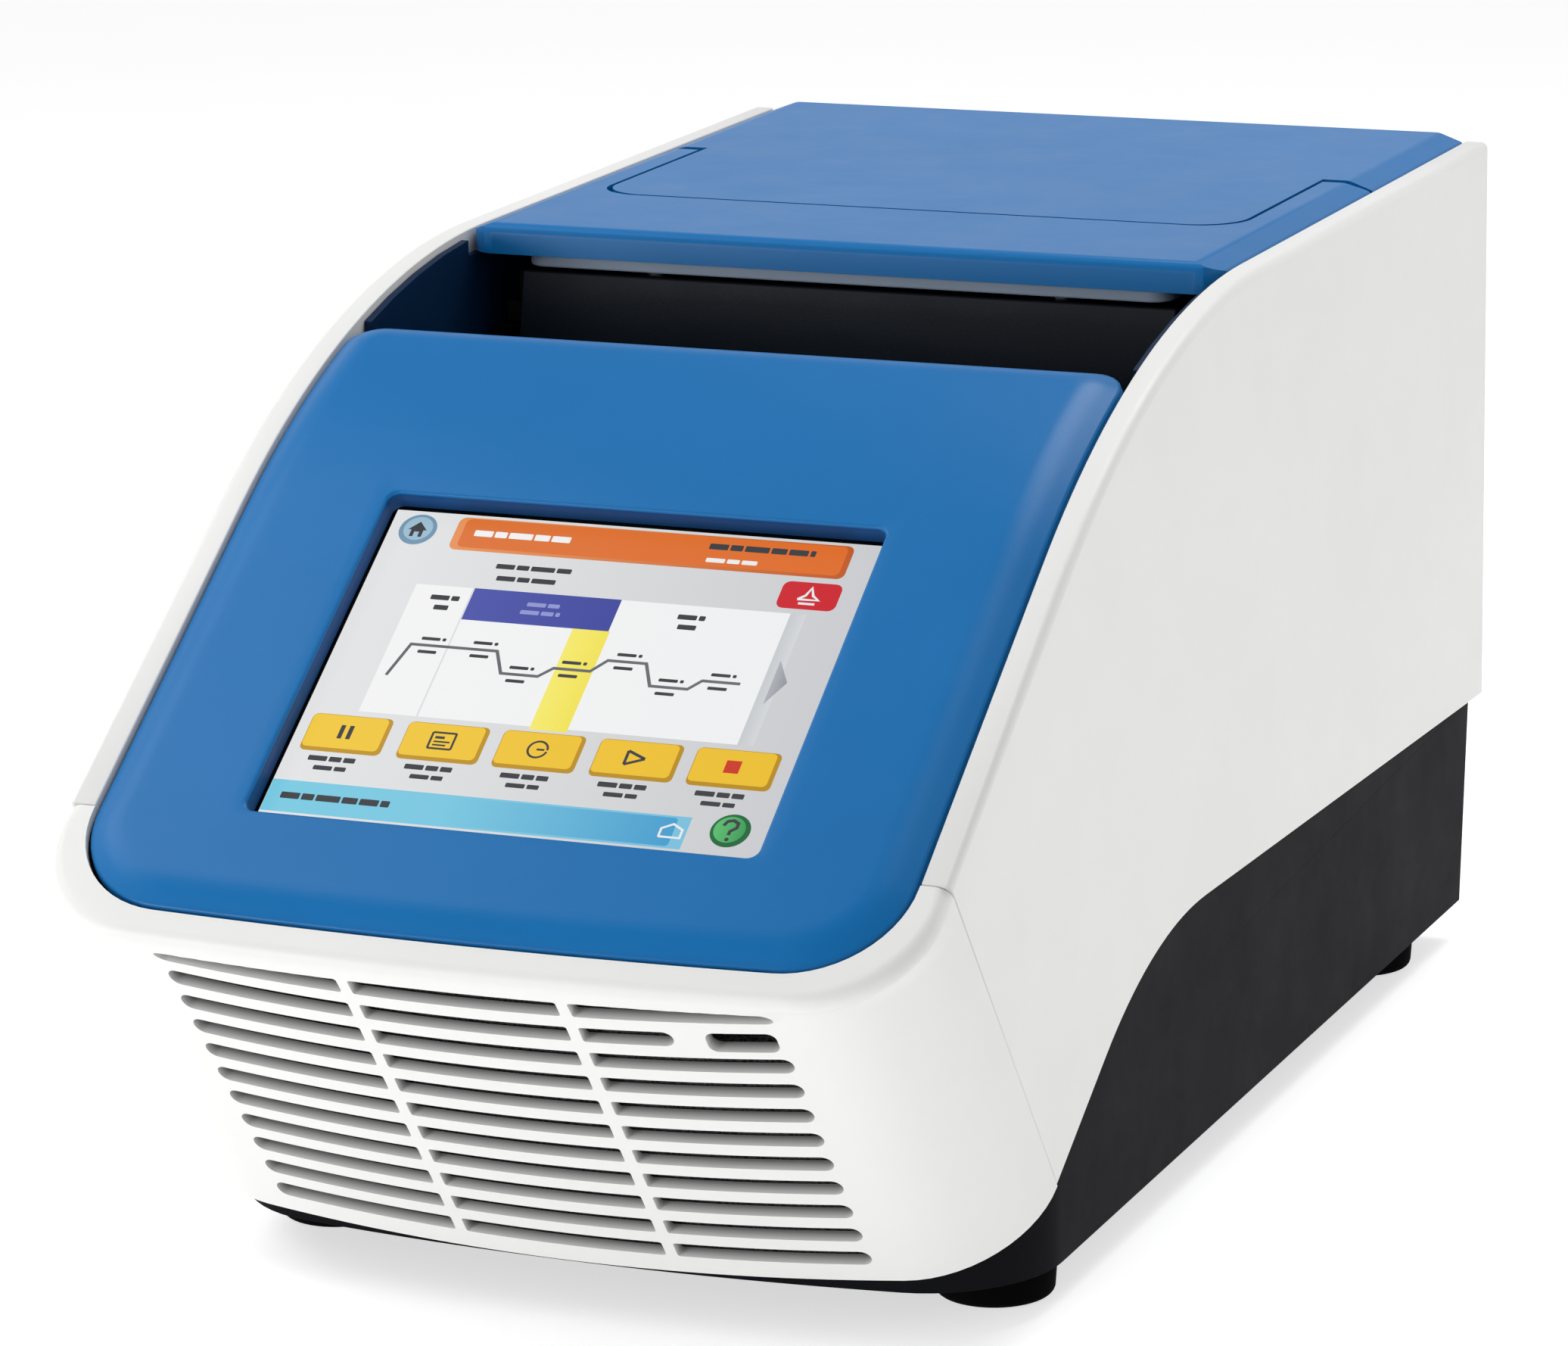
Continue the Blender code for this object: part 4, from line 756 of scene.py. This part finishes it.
# ---------------- control panel
def panel_outline(half, bottom, top, low_radius, high_radius, bow):
    """Closed outline of (x, up the panel) whose points keep their order at every size."""
    right = bowed_corner(half, low_radius, bottom, bow, 14, 14)
    start = right[-1][1]
    for i in range(1, 31):
        right.append((half, start + (top - high_radius - start) * i / 30))
    for angle in quarter(8)[1:]:
        right.append((half - high_radius * (1 - cos(angle)), top - high_radius * (1 - sin(angle))))
    for i in range(1, 9):
        right.append(((half - high_radius) * (1 - i / 8), top))
    return right + [(-x, up) for x, up in reversed(right[1:-1])]


def roll_height(share):
    """Rise of the bezel's sloping edge, straight at first and then rounding into the face."""
    gradient = 2 / (1 + ROLL_FLAT)
    height = gradient * share
    if share > ROLL_FLAT:
        height -= gradient * (share - ROLL_FLAT) ** 2 / (2 * (1 - ROLL_FLAT))
    return height


def bezel_ring(inset):
    return panel_outline(BEZEL_HALF - inset, BEZEL_BOTTOM + inset, BEZEL_TOP - inset, BEZEL_RADIUS - inset,
                         0.010 - 0.6 * inset, BEZEL_BOW)


def window_ring(grow):
    return panel_outline(WINDOW_HALF + grow, WINDOW_BOTTOM - grow, WINDOW_TOP + grow, WINDOW_RADIUS + grow,
                         WINDOW_RADIUS + grow, 0.0)


def add_bezel():
    """Pillow-shaped panel with a window: rings of points from its edge to the window and back."""
    face = BEZEL_DROP - BEZEL_RISE
    lip, back = 0.0009, 0.0008
    edges = ((0.0006, 0.0012), (0.0006, 0.0008), (0.00072, 0.00035), (0.00105, 0.0))
    rings = [(bezel_ring(inset), BEZEL_DROP + drop) for inset, drop in edges]
    for share in (k / 14 for k in range(1, 15)):
        rings.append((bezel_ring(ROLL_WIDTH * share), BEZEL_DROP - BEZEL_RISE * roll_height(share)))
    start, end = rings[-1][0], window_ring(lip)
    for k in range(1, 9):
        ring = [(x0 + (x1 - x0) * k / 8, u0 + (u1 - u0) * k / 8) for (x0, u0), (x1, u1) in zip(start, end)]
        rings.append((ring, face))
    for angle in quarter(5)[1:]:
        rings.append((window_ring(lip * (1 - sin(angle))), face + lip * (1 - cos(angle))))
    wall = len(rings) - 1
    over_glass, under = GLASS_DEPTH - 0.0008, face + BEZEL_THICK
    rings += [(window_ring(0.0), over_glass), (window_ring(0.0004), over_glass), (window_ring(0.0004), under),
              (start, under), (bezel_ring(back), BEZEL_DROP + BEZEL_THICK)]
    shape = bmesh.new()
    loops = [[shape.verts.new(slope_point(x, up, depth)) for x, up in ring] for ring, depth in rings]
    bezel = make("screen_bezel", skin(shape, loops, True))
    place(bezel, "blue_plastic", "chassis", "front_bezel")
    # the window's walls take the darker blue: painted shade
    bezel.data.materials.append(WINDOW_WALL_SHADE)
    count = len(rings[0][0])
    for polygon in bezel.data.polygons:
        if wall * count <= min(polygon.vertices) and max(polygon.vertices) < (wall + 3) * count:
            polygon.material_index = 1


def add_bezel_gap_shade():
    """Thin black strip in the gap between the bezel's sides and lower edge and the white rim: painted shade
    along the gap.
    """
    top = BEZEL_TOP - 0.011
    points = [(i, up) for i, (x, up) in enumerate(bezel_ring(0.0)) if up < top]
    kept = [i for i, up in points]
    outer, inner = bezel_ring(-0.0001), bezel_ring(0.00045)
    start = next(i for i in range(len(kept)) if kept[i] + 1 != kept[(i + 1) % len(kept)])
    order = kept[start + 1:] + kept[:start + 1]
    shape = bmesh.new()
    sections = []
    for i in order:
        (ox, ou), (ix, iu) = outer[i], inner[i]
        corners = ((ox, ou, 0.0009), (ix, iu, 0.0009), (ix, iu, 0.0028), (ox, ou, 0.0028))
        sections.append([shape.verts.new(slope_point(x, up, BEZEL_DROP + depth)) for x, up, depth in corners])
    place(make("bezel_gap_shade", close_rings(shape, sections)), "black_rubber")


# ---------------- picture on the screen
SHEET = 0.00004      # thickness of one layer of the picture
PICTURE_SHIFT = (-0.0008, 0.00125)
INK = ((52, 54, 58), (64, 66, 70))
WHITE = ((250, 250, 250), (236, 238, 240))


def tile(name, outlines, level, left, right, span=(-70, 70)):
    """Thin flat lit shapes on the glass, whose colour runs from left to right; a higher level lies on top."""
    top = GLASS_DEPTH - SHEET * (level + 1)
    dx, dup = PICTURE_SHIFT if level else (0.0, 0.0)
    moved = [[(x + dx, up + dup) for x, up in outline] for outline in outlines]
    shapes = [sweep(outline, top + SHEET * 0.9, top, slope_point) for outline in moved]
    piece = make("picture_" + name, merge(shapes))
    material = lit("lit_" + name, left, right, [x / 1000 for x in span])
    place(piece, "screen_glass", material=material)
    piece.data.shade_flat()


def metres(points):
    return [(x / 1000, up / 1000) for x, up in points]


def bar(x0, x1, up0, up1, radius=0.0):
    outline = metres(rectangle(x0, x1, up0, up1))
    return rounded(outline, radius / 1000, 4) if radius else outline


def dot(x, up, radius):
    return circle(x / 1000, up / 1000, radius / 1000)


def stroke(points, width):
    """Line of a given width through points, as one closed outline in metres."""
    path = [Vector(p) / 1000 for p in points]
    sides = ([], [])
    for i, here in enumerate(path):
        back = (here - path[i - 1]).normalized() if i else (path[1] - here).normalized()
        ahead = (path[i + 1] - here).normalized() if i + 1 < len(path) else back
        across = Vector((-(back + ahead).y, (back + ahead).x)).normalized()
        reach = width / 2000 / max(0.6, across.dot(Vector((-back.y, back.x))))
        sides[0].append(tuple(here + across * reach))
        sides[1].append(tuple(here - across * reach))
    return sides[0] + sides[1][::-1]


def loop(points, width):
    """Separate strokes along the sides of a closed figure."""
    return [stroke([a, b], width) for a, b in zip(points, points[1:] + points[:1])]


def hoop(x, up, outer, inner):
    """Ring as one outline, cut open along a line too thin to see."""
    return metres(circle(x, up, outer) + circle(x, up, inner)[::-1])


def words(x0, x1, up, height=1.6):
    """Row of short blocks of uneven length, where writing would be."""
    lengths, gap = (5.2, 3.4, 6.6, 4.2), 0.6
    blocks, x, i = [], x0, 0
    while x < x1 - 0.8:
        end = min(x1, x + lengths[i % len(lengths)])
        blocks.append(bar(x, end, up - height / 2, up + height / 2, 0.3))
        x, i = end + gap, i + 1
    return blocks


def add_picture():
    border = 0.0006
    edge = 1000 * (WINDOW_HALF - border)
    bottom, top = 1000 * (WINDOW_BOTTOM + border), 1000 * (WINDOW_TOP - border)
    tile("ground", [bar(-edge, edge, bottom, top)], 0, (232, 233, 234), (206, 208, 211))
    add_header()
    add_chart()
    add_buttons()
    tile("status_bar", [bar(0.9 - edge, 46.4, 46.0, 56.2)], 1, (122, 206, 230), (126, 196, 226), (-70, 46))
    tile("status_band", [bar(-20.0, 43.0, 46.6, 55.6, 1.0)], 2, (123, 202, 228), (70, 160, 210), (-20, 43))
    tile("status_words", words(-63.6, -33.6, 51.3, 2.0), 3, *INK)
    mark = [(39.6, 49.4), (39.6, 52.0), (42.4, 53.6), (45.2, 52.0), (45.2, 49.4), (39.6, 49.4)]
    tile("status_mark", [stroke(mark, 0.6)], 3, *WHITE)
    tile("help", [dot(57.4, 53.2, 5.2)], 1, (40, 128, 74), (30, 104, 58))
    tile("help_face", [dot(57.1, 53.5, 4.1)], 2, (92, 190, 112), (52, 150, 82), (53, 62))
    hook = [(55.2, 54.6), (55.9, 56.0), (57.4, 56.4), (58.8, 55.6), (58.8, 54.2), (57.4, 53.0), (57.3, 51.8)]
    tile("help_mark", [stroke(hook, 0.9), dot(57.3, 50.4, 0.55)], 3, *INK)


def add_header():
    """Home key, title bar, captions and alarm key."""
    tile("home", [dot(-59.6, 142.0, 5.2)], 1, (118, 154, 180), (96, 134, 165))
    tile("home_face", [dot(-59.6, 142.3, 4.0)], 2, (160, 194, 214), (140, 176, 200))
    house = [(-62.2, 141.8), (-59.6, 144.6), (-57.0, 141.8), (-57.9, 141.8), (-57.9, 139.5), (-58.9, 139.5),
             (-58.9, 141.2), (-60.3, 141.2), (-60.3, 139.5), (-61.3, 139.5), (-61.3, 141.8)]
    tile("house", [metres(house)], 3, *INK)
    tile("header", [bar(-49.1, 60.2, 136.2, 147.4, 2.0)], 1, (236, 150, 92), (196, 92, 36), (-49, 61))
    tile("header_face", [bar(-47.0, 58.6, 137.2, 147.0, 1.6)], 2, (226, 118, 52), (228, 112, 40), (-49, 61))
    tile("header_words", words(-43.5, -16.0, 142.2, 2.0) + words(22.0, 36.0, 139.2, 1.4), 3, *WHITE)
    tile("header_title", words(21.5, 50.5, 143.8, 1.9), 3, *INK)
    tile("captions", words(-33.6, -12.6, 131.7) + words(-32.1, -14.6, 127.7), 1, *INK)
    tile("alarm_button", [bar(45.2, 61.2, 125.4, 134.4, 2.0)], 1, (222, 52, 58), (206, 34, 44))
    bell = [(50.4, 128.6), (52.2, 130.0), (53.2, 132.6), (54.2, 130.0), (56.0, 128.6)]
    tile("alarm_bell", [stroke(bell + bell[:1], 0.7), bar(51.0, 55.4, 126.9, 127.6)], 2, *WHITE)


def add_chart():
    """Temperature profile: two stages, the present step's band and a line of plateaus."""
    tile("chart", [bar(-53.1, 50.2, 80.2, 123.7)], 1, (248, 248, 248), (244, 245, 246))
    tile("chart_shade", [bar(50.2, 54.4, 80.2, 123.7)], 1, (205, 208, 212), (222, 224, 226), (50, 55))
    tile("chart_rule", [bar(-37.1, -36.7, 80.2, 123.7)], 2, (222, 224, 228), (218, 220, 226))
    tile("stage_block", [bar(-36.6, 4.2, 113.0, 123.7)], 3, (74, 84, 172), (62, 72, 160), (-37, 5))
    tile("stage_words", words(-20.6, -11.6, 119.7, 1.3) + words(-21.6, -10.6, 117.0, 1.3), 4,
         (150, 156, 214), (140, 148, 208))
    labels = ((-47.6, -39.6, 119.7), (-45.6, -41.6, 116.4), (20.9, 28.4, 119.7), (21.9, 26.9, 116.4))
    tile("stage_labels", [block for label in labels for block in words(*label)], 2, *INK)
    tile("step_band", [bar(-5.6, 4.6, 79.2, 113.0)], 2, (250, 238, 110), (246, 230, 84), (-6, 5))
    plateaus = ((-47.1, -23.1, 103.5), (-19.6, -9.4, 96.4), (-6.1, 3.9, 99.5), (7.4, 17.9, 103.5),
                (21.2, 31.4, 96.4), (34.4, 44.6, 99.5))
    curve = [(-50.1, 92.7)] + [(x, up) for x0, x1, up in plateaus for x in (x0, x1)]
    tile("profile", [stroke(curve, 0.9)], 3, (96, 99, 104), (112, 114, 118))
    marks = []
    for x, above, below in ([((x0 + x1) / 2, up + 2.2, up - 2.2) for x0, x1, up in plateaus[1:]]
                            + [(-41.5, 105.7, 101.3), (-27.0, 105.7, 101.3)]):
        marks += words(x - 3.4, x + 3.4, above, 1.0) + words(x - 3.0, x + 3.2, below, 1.0)
    tile("profile_marks", marks, 4, *INK)
    arrow = [(52.6, 93.7), (56.6, 101.2), (52.6, 108.2)]
    tile("next_arrow", [metres(arrow)], 2, (176, 180, 186), (140, 144, 150), (52, 57))


def add_buttons():
    """Five raised-looking keys, each with its picture and a caption below."""
    shadow, face, label, icons = [], [], [], []
    for x in (-53.4, -26.7, -0.5, 25.9, 51.9):
        shadow.append(bar(x - 11.2, x + 11.2, 66.3, 78.5, 1.6))
        face.append(bar(x - 11.0, x + 10.0, 67.6, 78.3, 1.3))
        label += words(x - 7.5, x + 5.5, 64.0, 1.6) + words(x - 5.0, x + 4.0, 61.0, 1.4)
        icons.append(x - 0.5)
    tile("key_edges", shadow, 1, (196, 150, 30), (188, 142, 26))
    tile("keys", face, 2, (246, 204, 56), (240, 194, 44))
    tile("key_words", label, 1, *INK)
    pause, card, clock, play, stop = icons
    up = 73.0
    picture = [bar(pause + a, pause + a + 1.2, up - 2.2, up + 2.2) for a in (-1.8, 0.6)]
    picture += loop(rectangle(card - 3.2, card + 3.2, up - 2.6, up + 2.6), 0.6)
    lines = ((0.4, 0.6, 1.4), (2.2, -0.6, -0.1), (1.4, -1.7, -1.2))
    picture += [bar(card - 2.2, card + end, up + below, up + above) for end, below, above in lines]
    picture += [hoop(clock, up, 2.9, 2.3), bar(clock - 0.3, clock + 1.8, up - 0.3, up + 0.3)]
    picture += loop([(play - 2.4, up - 2.2), (play + 2.6, up), (play - 2.4, up + 2.2)], 0.8)
    tile("key_pictures", picture, 3, *INK)
    tile("stop_mark", [bar(stop - 2.0, stop + 2.0, up - 2.0, up + 2.0)], 3, (214, 66, 38), (206, 56, 34))


# ---------------- cover
def crown_outline():
    points = [(-LID_HALF, LID_SKIRT_BOTTOM), (LID_HALF, LID_SKIRT_BOTTOM), (LID_HALF, CROWN_EDGE_Z),
              (CROWN_HALF, CROWN_TOP), (-CROWN_HALF, CROWN_TOP), (-LID_HALF, CROWN_EDGE_Z)]
    return rounded(points, [0.0005, 0.0005, 0.0014, 0.006, 0.006, 0.0014], 6)


def corner_cutter(side, half, front, radius):
    """Upright prism that rounds the front corner of a cover part, seen from above."""
    x, y = side * half, front
    arc = [(x - side * radius * (1 - sin(a)), y + radius * (1 - cos(a))) for a in quarter(12)]
    beyond = [(x + side * 0.001, y + radius), (x + side * 0.001, y - 0.001), (x - side * radius, y - 0.001)]
    return sweep(arc + beyond, CUT_LOW, CUT_HIGH, along_z)


def add_lid_shell():
    plate = CROWN_TOP - LID_PLATE
    skirt = LID_HALF - WALL
    shell = make("lid_shell", sweep(crown_outline(), PAD_FRONT, REAR_Y, along_y))
    ahead = 0.03
    carve(shell, [box((-skirt, ahead, LID_INSIDE_Z), (skirt, REAR_Y - WALL, plate))])
    carve(shell, [box((side * WING_X - WING_HALF, ahead, LID_INSIDE_Z),
                      (side * WING_X + WING_HALF, WING_FRONT, CUT_HIGH)) for side in (-1, 1)])
    back_low, back_high = low("cover_shell").z, LID_SKIRT_BOTTOM + 0.002
    carve(shell, [box((-LID_HALF, REAR_Y - WALL, back_low), (LID_HALF, REAR_Y, back_high))], "UNION")
    carve(shell, [corner_cutter(side, PAD_HALF, PAD_FRONT, PAD_RADIUS) for side in (-1, 1)])
    boss = [(0.2299, BOSS_RADIUS), (plate + 0.001, BOSS_RADIUS)]
    carve(shell, [turned("Z", (x, y, 0), boss, 24) for x in BOSS_XS for y in BOSS_YS], "UNION")
    place(shell, "blue_plastic", "cover", "cover_shell", edge=0.0007, angle=34)


def add_lid_handle():
    plate = CROWN_TOP - LID_PLATE
    inner = LID_HALF - WALL
    handle = make("lid_handle", sweep(crown_outline(), LID_FRONT, LID_SPLIT, along_y))
    hollow = rectangle(-inner, inner, LID_FRONT + WALL, 0.16)
    hollow = rounded(hollow, [HANDLE_RADIUS - WALL] * 2 + [0, 0], 8)
    carve(handle, [sweep(hollow, CUT_LOW, plate, along_z)])
    carve(handle, [corner_cutter(side, LID_HALF, LID_FRONT, HANDLE_RADIUS) for side in (-1, 1)])
    edge = PAD_HALF + PAD_GAP
    front, behind = PAD_FRONT - PAD_GAP, 0.18
    hole = rounded([(-edge, behind), (-edge, front), (edge, front), (edge, behind)],
                   [0, PAD_RADIUS, PAD_RADIUS, 0], 12)
    carve(handle, [sweep(hole, CUT_LOW, CUT_HIGH, along_z)])
    bevel = [(LID_SPLIT - 0.0021, CROWN_TOP + 0.0002), (LID_SPLIT + 0.001, CROWN_TOP - 0.0029),
             (LID_SPLIT + 0.001, 0.25)]
    carve(handle, [sweep(bevel, -0.12, 0.12, along_x)])
    roll = 0.003
    curve = [(LID_FRONT + roll * (1 - sin(t)), CROWN_TOP - roll * (1 - cos(t))) for t in quarter(8)]
    beyond = [(LID_FRONT - 0.001, CROWN_TOP - roll), (LID_FRONT - 0.001, CROWN_TOP + 0.001),
              (LID_FRONT + roll, CROWN_TOP + 0.001)]
    carve(handle, [sweep(curve + beyond, -0.12, 0.12, along_x)])
    lug = [(0.1430, plate + 0.001), (0.1494, plate + 0.001), (0.1494, 0.2413), (0.1530, 0.2413),
           (0.1530, 0.2366), (0.1430, 0.2366)]
    carve(handle, [sweep(lug, 0.0985, 0.1060, along_x), sweep(lug, -0.1060, -0.0985, along_x)], "UNION")
    corner, opposite = corners("handle_pin_right")
    pin = (corner + opposite) / 2
    bore = (opposite.z - corner.z) / 2 + 0.0003
    carve(handle, [turned("X", (0, pin.y, pin.z), [(x0, bore), (x0 + 0.01, bore)], 24)
                   for x0 in (-0.107, 0.097)])
    place(handle, "blue_plastic", "handle", "cover_handle", edge=0.0009, segments=4, angle=34)


def add_liner():
    corner, opposite = corners("handle_liner")
    outline = rounded(rectangle(corner.x, opposite.x, corner.y, opposite.y), 0.006, 8)
    liner = make("lid_liner", sweep(outline, corner.z, opposite.z, along_z))
    place(liner, "grey_plastic", "handle", "handle_liner", edge=0.0007)


# ---------------- rear
def add_fan_guard():
    """Welded wire guard: four rings crossed by two straight wires."""
    corner, opposite = corners("fan_guard")
    middle = (corner + opposite) / 2
    reach, wire = (opposite.x - corner.x) / 2, (opposite.y - corner.y) / 2
    shapes = []
    for share in (1.0, 0.76, 0.52, 0.28):
        shape = bmesh.new()
        loops = []
        for angle in round_angles(64):
            out = Vector((cos(angle), 0, sin(angle)))
            loops.append([shape.verts.new(middle + out * (reach * share - wire + wire * cos(t))
                                          + Vector((0, wire * sin(t), 0))) for t in round_angles(10)])
        shapes.append(skin(shape, loops, True))
    rod = 0.9 * wire
    across = [(corner.x + wire, rod), (opposite.x - wire, rod)]
    upright = [(corner.z + wire, rod), (opposite.z - wire, rod)]
    shapes.append(turned("X", (0, middle.y, middle.z), across, 12))
    shapes.append(turned("Z", (middle.x, middle.y, 0), upright, 12))
    place(make("rear_fan_guard", merge(shapes)), "steel", "chassis", "fan_guard")


def add_rear_screws():
    """Pan-head screws of the fan guard and of the rear panel."""
    corner, opposite = corners("rear_panel")
    fan = (low("exhaust_fan_frame") + high("exhaust_fan_frame")) / 2
    hole = 0.0357
    spots = [(fan.x + x, fan.z + z) for x in (-hole, hole) for z in (-hole, hole)]
    spots += [(x, z) for x in (corner.x + 0.006, opposite.x - 0.006)
              for z in (corner.z + 0.008, opposite.z - 0.008)]
    y = opposite.y
    head = [(y - 0.0002, 0.0010), (y + 0.0001, 0.0028), (y + 0.0007, 0.0027), (y + 0.0012, 0.0019),
            (y + 0.0014, 0.0012), (y + 0.0008, 0.0009)]
    place(make("rear_screws", merge([turned("Y", (x, 0, z), head, 20) for x, z in spots])), "steel")


# ---------------- sample block
def add_well_block():
    """Milled block with 96 turned wells: each cell's top face runs round its well's mouth."""
    shape = bmesh.new()
    half = WELL_PITCH / 2
    sides = 24
    top = BLOCK_HIGH.z
    rim = [square_point(angle, half) for angle in round_angles(sides)]
    rows, columns = 8, 12
    for row in range(rows):
        for column in range(columns):
            x = (column - (columns - 1) / 2) * WELL_PITCH + BLOCK_MIDDLE.x
            y = (row - (rows - 1) / 2) * WELL_PITCH + BLOCK_MIDDLE.y
            rings = [[(x + a, y + b, top) for a, b in rim]]
            for radius, z in ((WELL_TOP_RADIUS + 0.0003, top), (WELL_TOP_RADIUS, top - 0.0003),
                              (WELL_END_RADIUS + 0.0006, top - WELL_DEPTH + 0.001),
                              (WELL_END_RADIUS, top - WELL_DEPTH + 0.0003), (0.0006, top - WELL_DEPTH)):
                rings.append([(a, b, z) for a, b in circle(x, y, radius, sides)])
            loops = [[shape.verts.new(p) for p in ring] for ring in rings]
            for near, far in zip(loops, loops[1:]):
                for i in range(sides):
                    j = (i + 1) % sides
                    shape.faces.new((near[i], near[j], far[j], far[i]))
            shape.faces.new(loops[-1])
    bmesh.ops.remove_doubles(shape, verts=shape.verts, dist=0.00001)
    for vert in grown_border(shape):
        for axis, count in ((0, columns), (1, rows)):
            away = vert.co[axis] - BLOCK_MIDDLE[axis]
            if abs(away) > (count / 2 - 0.1) * WELL_PITCH:
                vert.co[axis] = BLOCK_LOW[axis] if away < 0 else BLOCK_HIGH[axis]
    for vert in grown_border(shape):
        vert.co.z = BLOCK_LOW.z
    bmesh.ops.holes_fill(shape, edges=border_edges(shape), sides=0)
    bmesh.ops.recalc_face_normals(shape, faces=shape.faces)
    block = make("well_block", shape)
    place(block, "aluminium", "chassis", "sample_block")
    block.data.set_sharp_from_angle(angle=radians(35))


def border_edges(shape):
    return [edge for edge in shape.edges if edge.is_boundary]


def grown_border(shape):
    """New points of a second border, which starts in the same place as the open border."""
    grown = bmesh.ops.extrude_edge_only(shape, edges=border_edges(shape))["geom"]
    return [part for part in grown if isinstance(part, bmesh.types.BMVert)]


def square_point(angle, half):
    """Point of a square's edge in one direction from its middle."""
    c, s = cos(angle), sin(angle)
    reach = half / max(abs(c), abs(s))
    return (reach * c, reach * s)


# ---------------- carried-over nodes
# width of the rounded edges on the CAD nodes of each material
EDGES = {"painted_steel": 0.0003, "steel": 0.00025, "aluminium": 0.00025, "charcoal_plastic": 0.0006,
         "dark_blue_plastic": 0.0003, "black_plastic": 0.0004, "foam": 0.0006, "ceramic": 0.0002,
         "silicone": 0.0004, "nylon": 0.0005, "display_module": 0.0003, "black_rubber": 0.0002}


def dress_nodes():
    """Better finish for every CAD node that stays, and small rounded edges on those whose material has a
    width in EDGES.
    """
    for part in frame["record"]["subparts"]:
        node, slot = nodes[part["node"]], part["material_slot"]
        if node.hide_render:
            continue
        paint(node, MATERIALS[slot])
        weld = node.modifiers.new("joined_corners", "WELD")
        weld.merge_threshold = 0.00001
        if slot in EDGES:
            soften(node, EDGES[slot], 2)
    # rails, carriage and pins painted near black: painted shade for the dark recess
    for name in ("rail_left", "rail_right", "cover_carriage", "handle_pin_left", "handle_pin_right"):
        paint(nodes[name], RECESS_SHADE_STEEL)
    for name in ("platen_housing", "block_deck"):
        paint(nodes[name], RECESS_PLASTIC)


add_camera()
add_floor()
add_lighting()
add_side_panels()
add_front_panel()
add_base()
add_feet()
add_bezel()
add_bezel_gap_shade()
add_picture()
add_lid_shell()
add_lid_handle()
add_liner()
add_well_block()
add_fan_guard()
add_rear_screws()
dress_nodes()
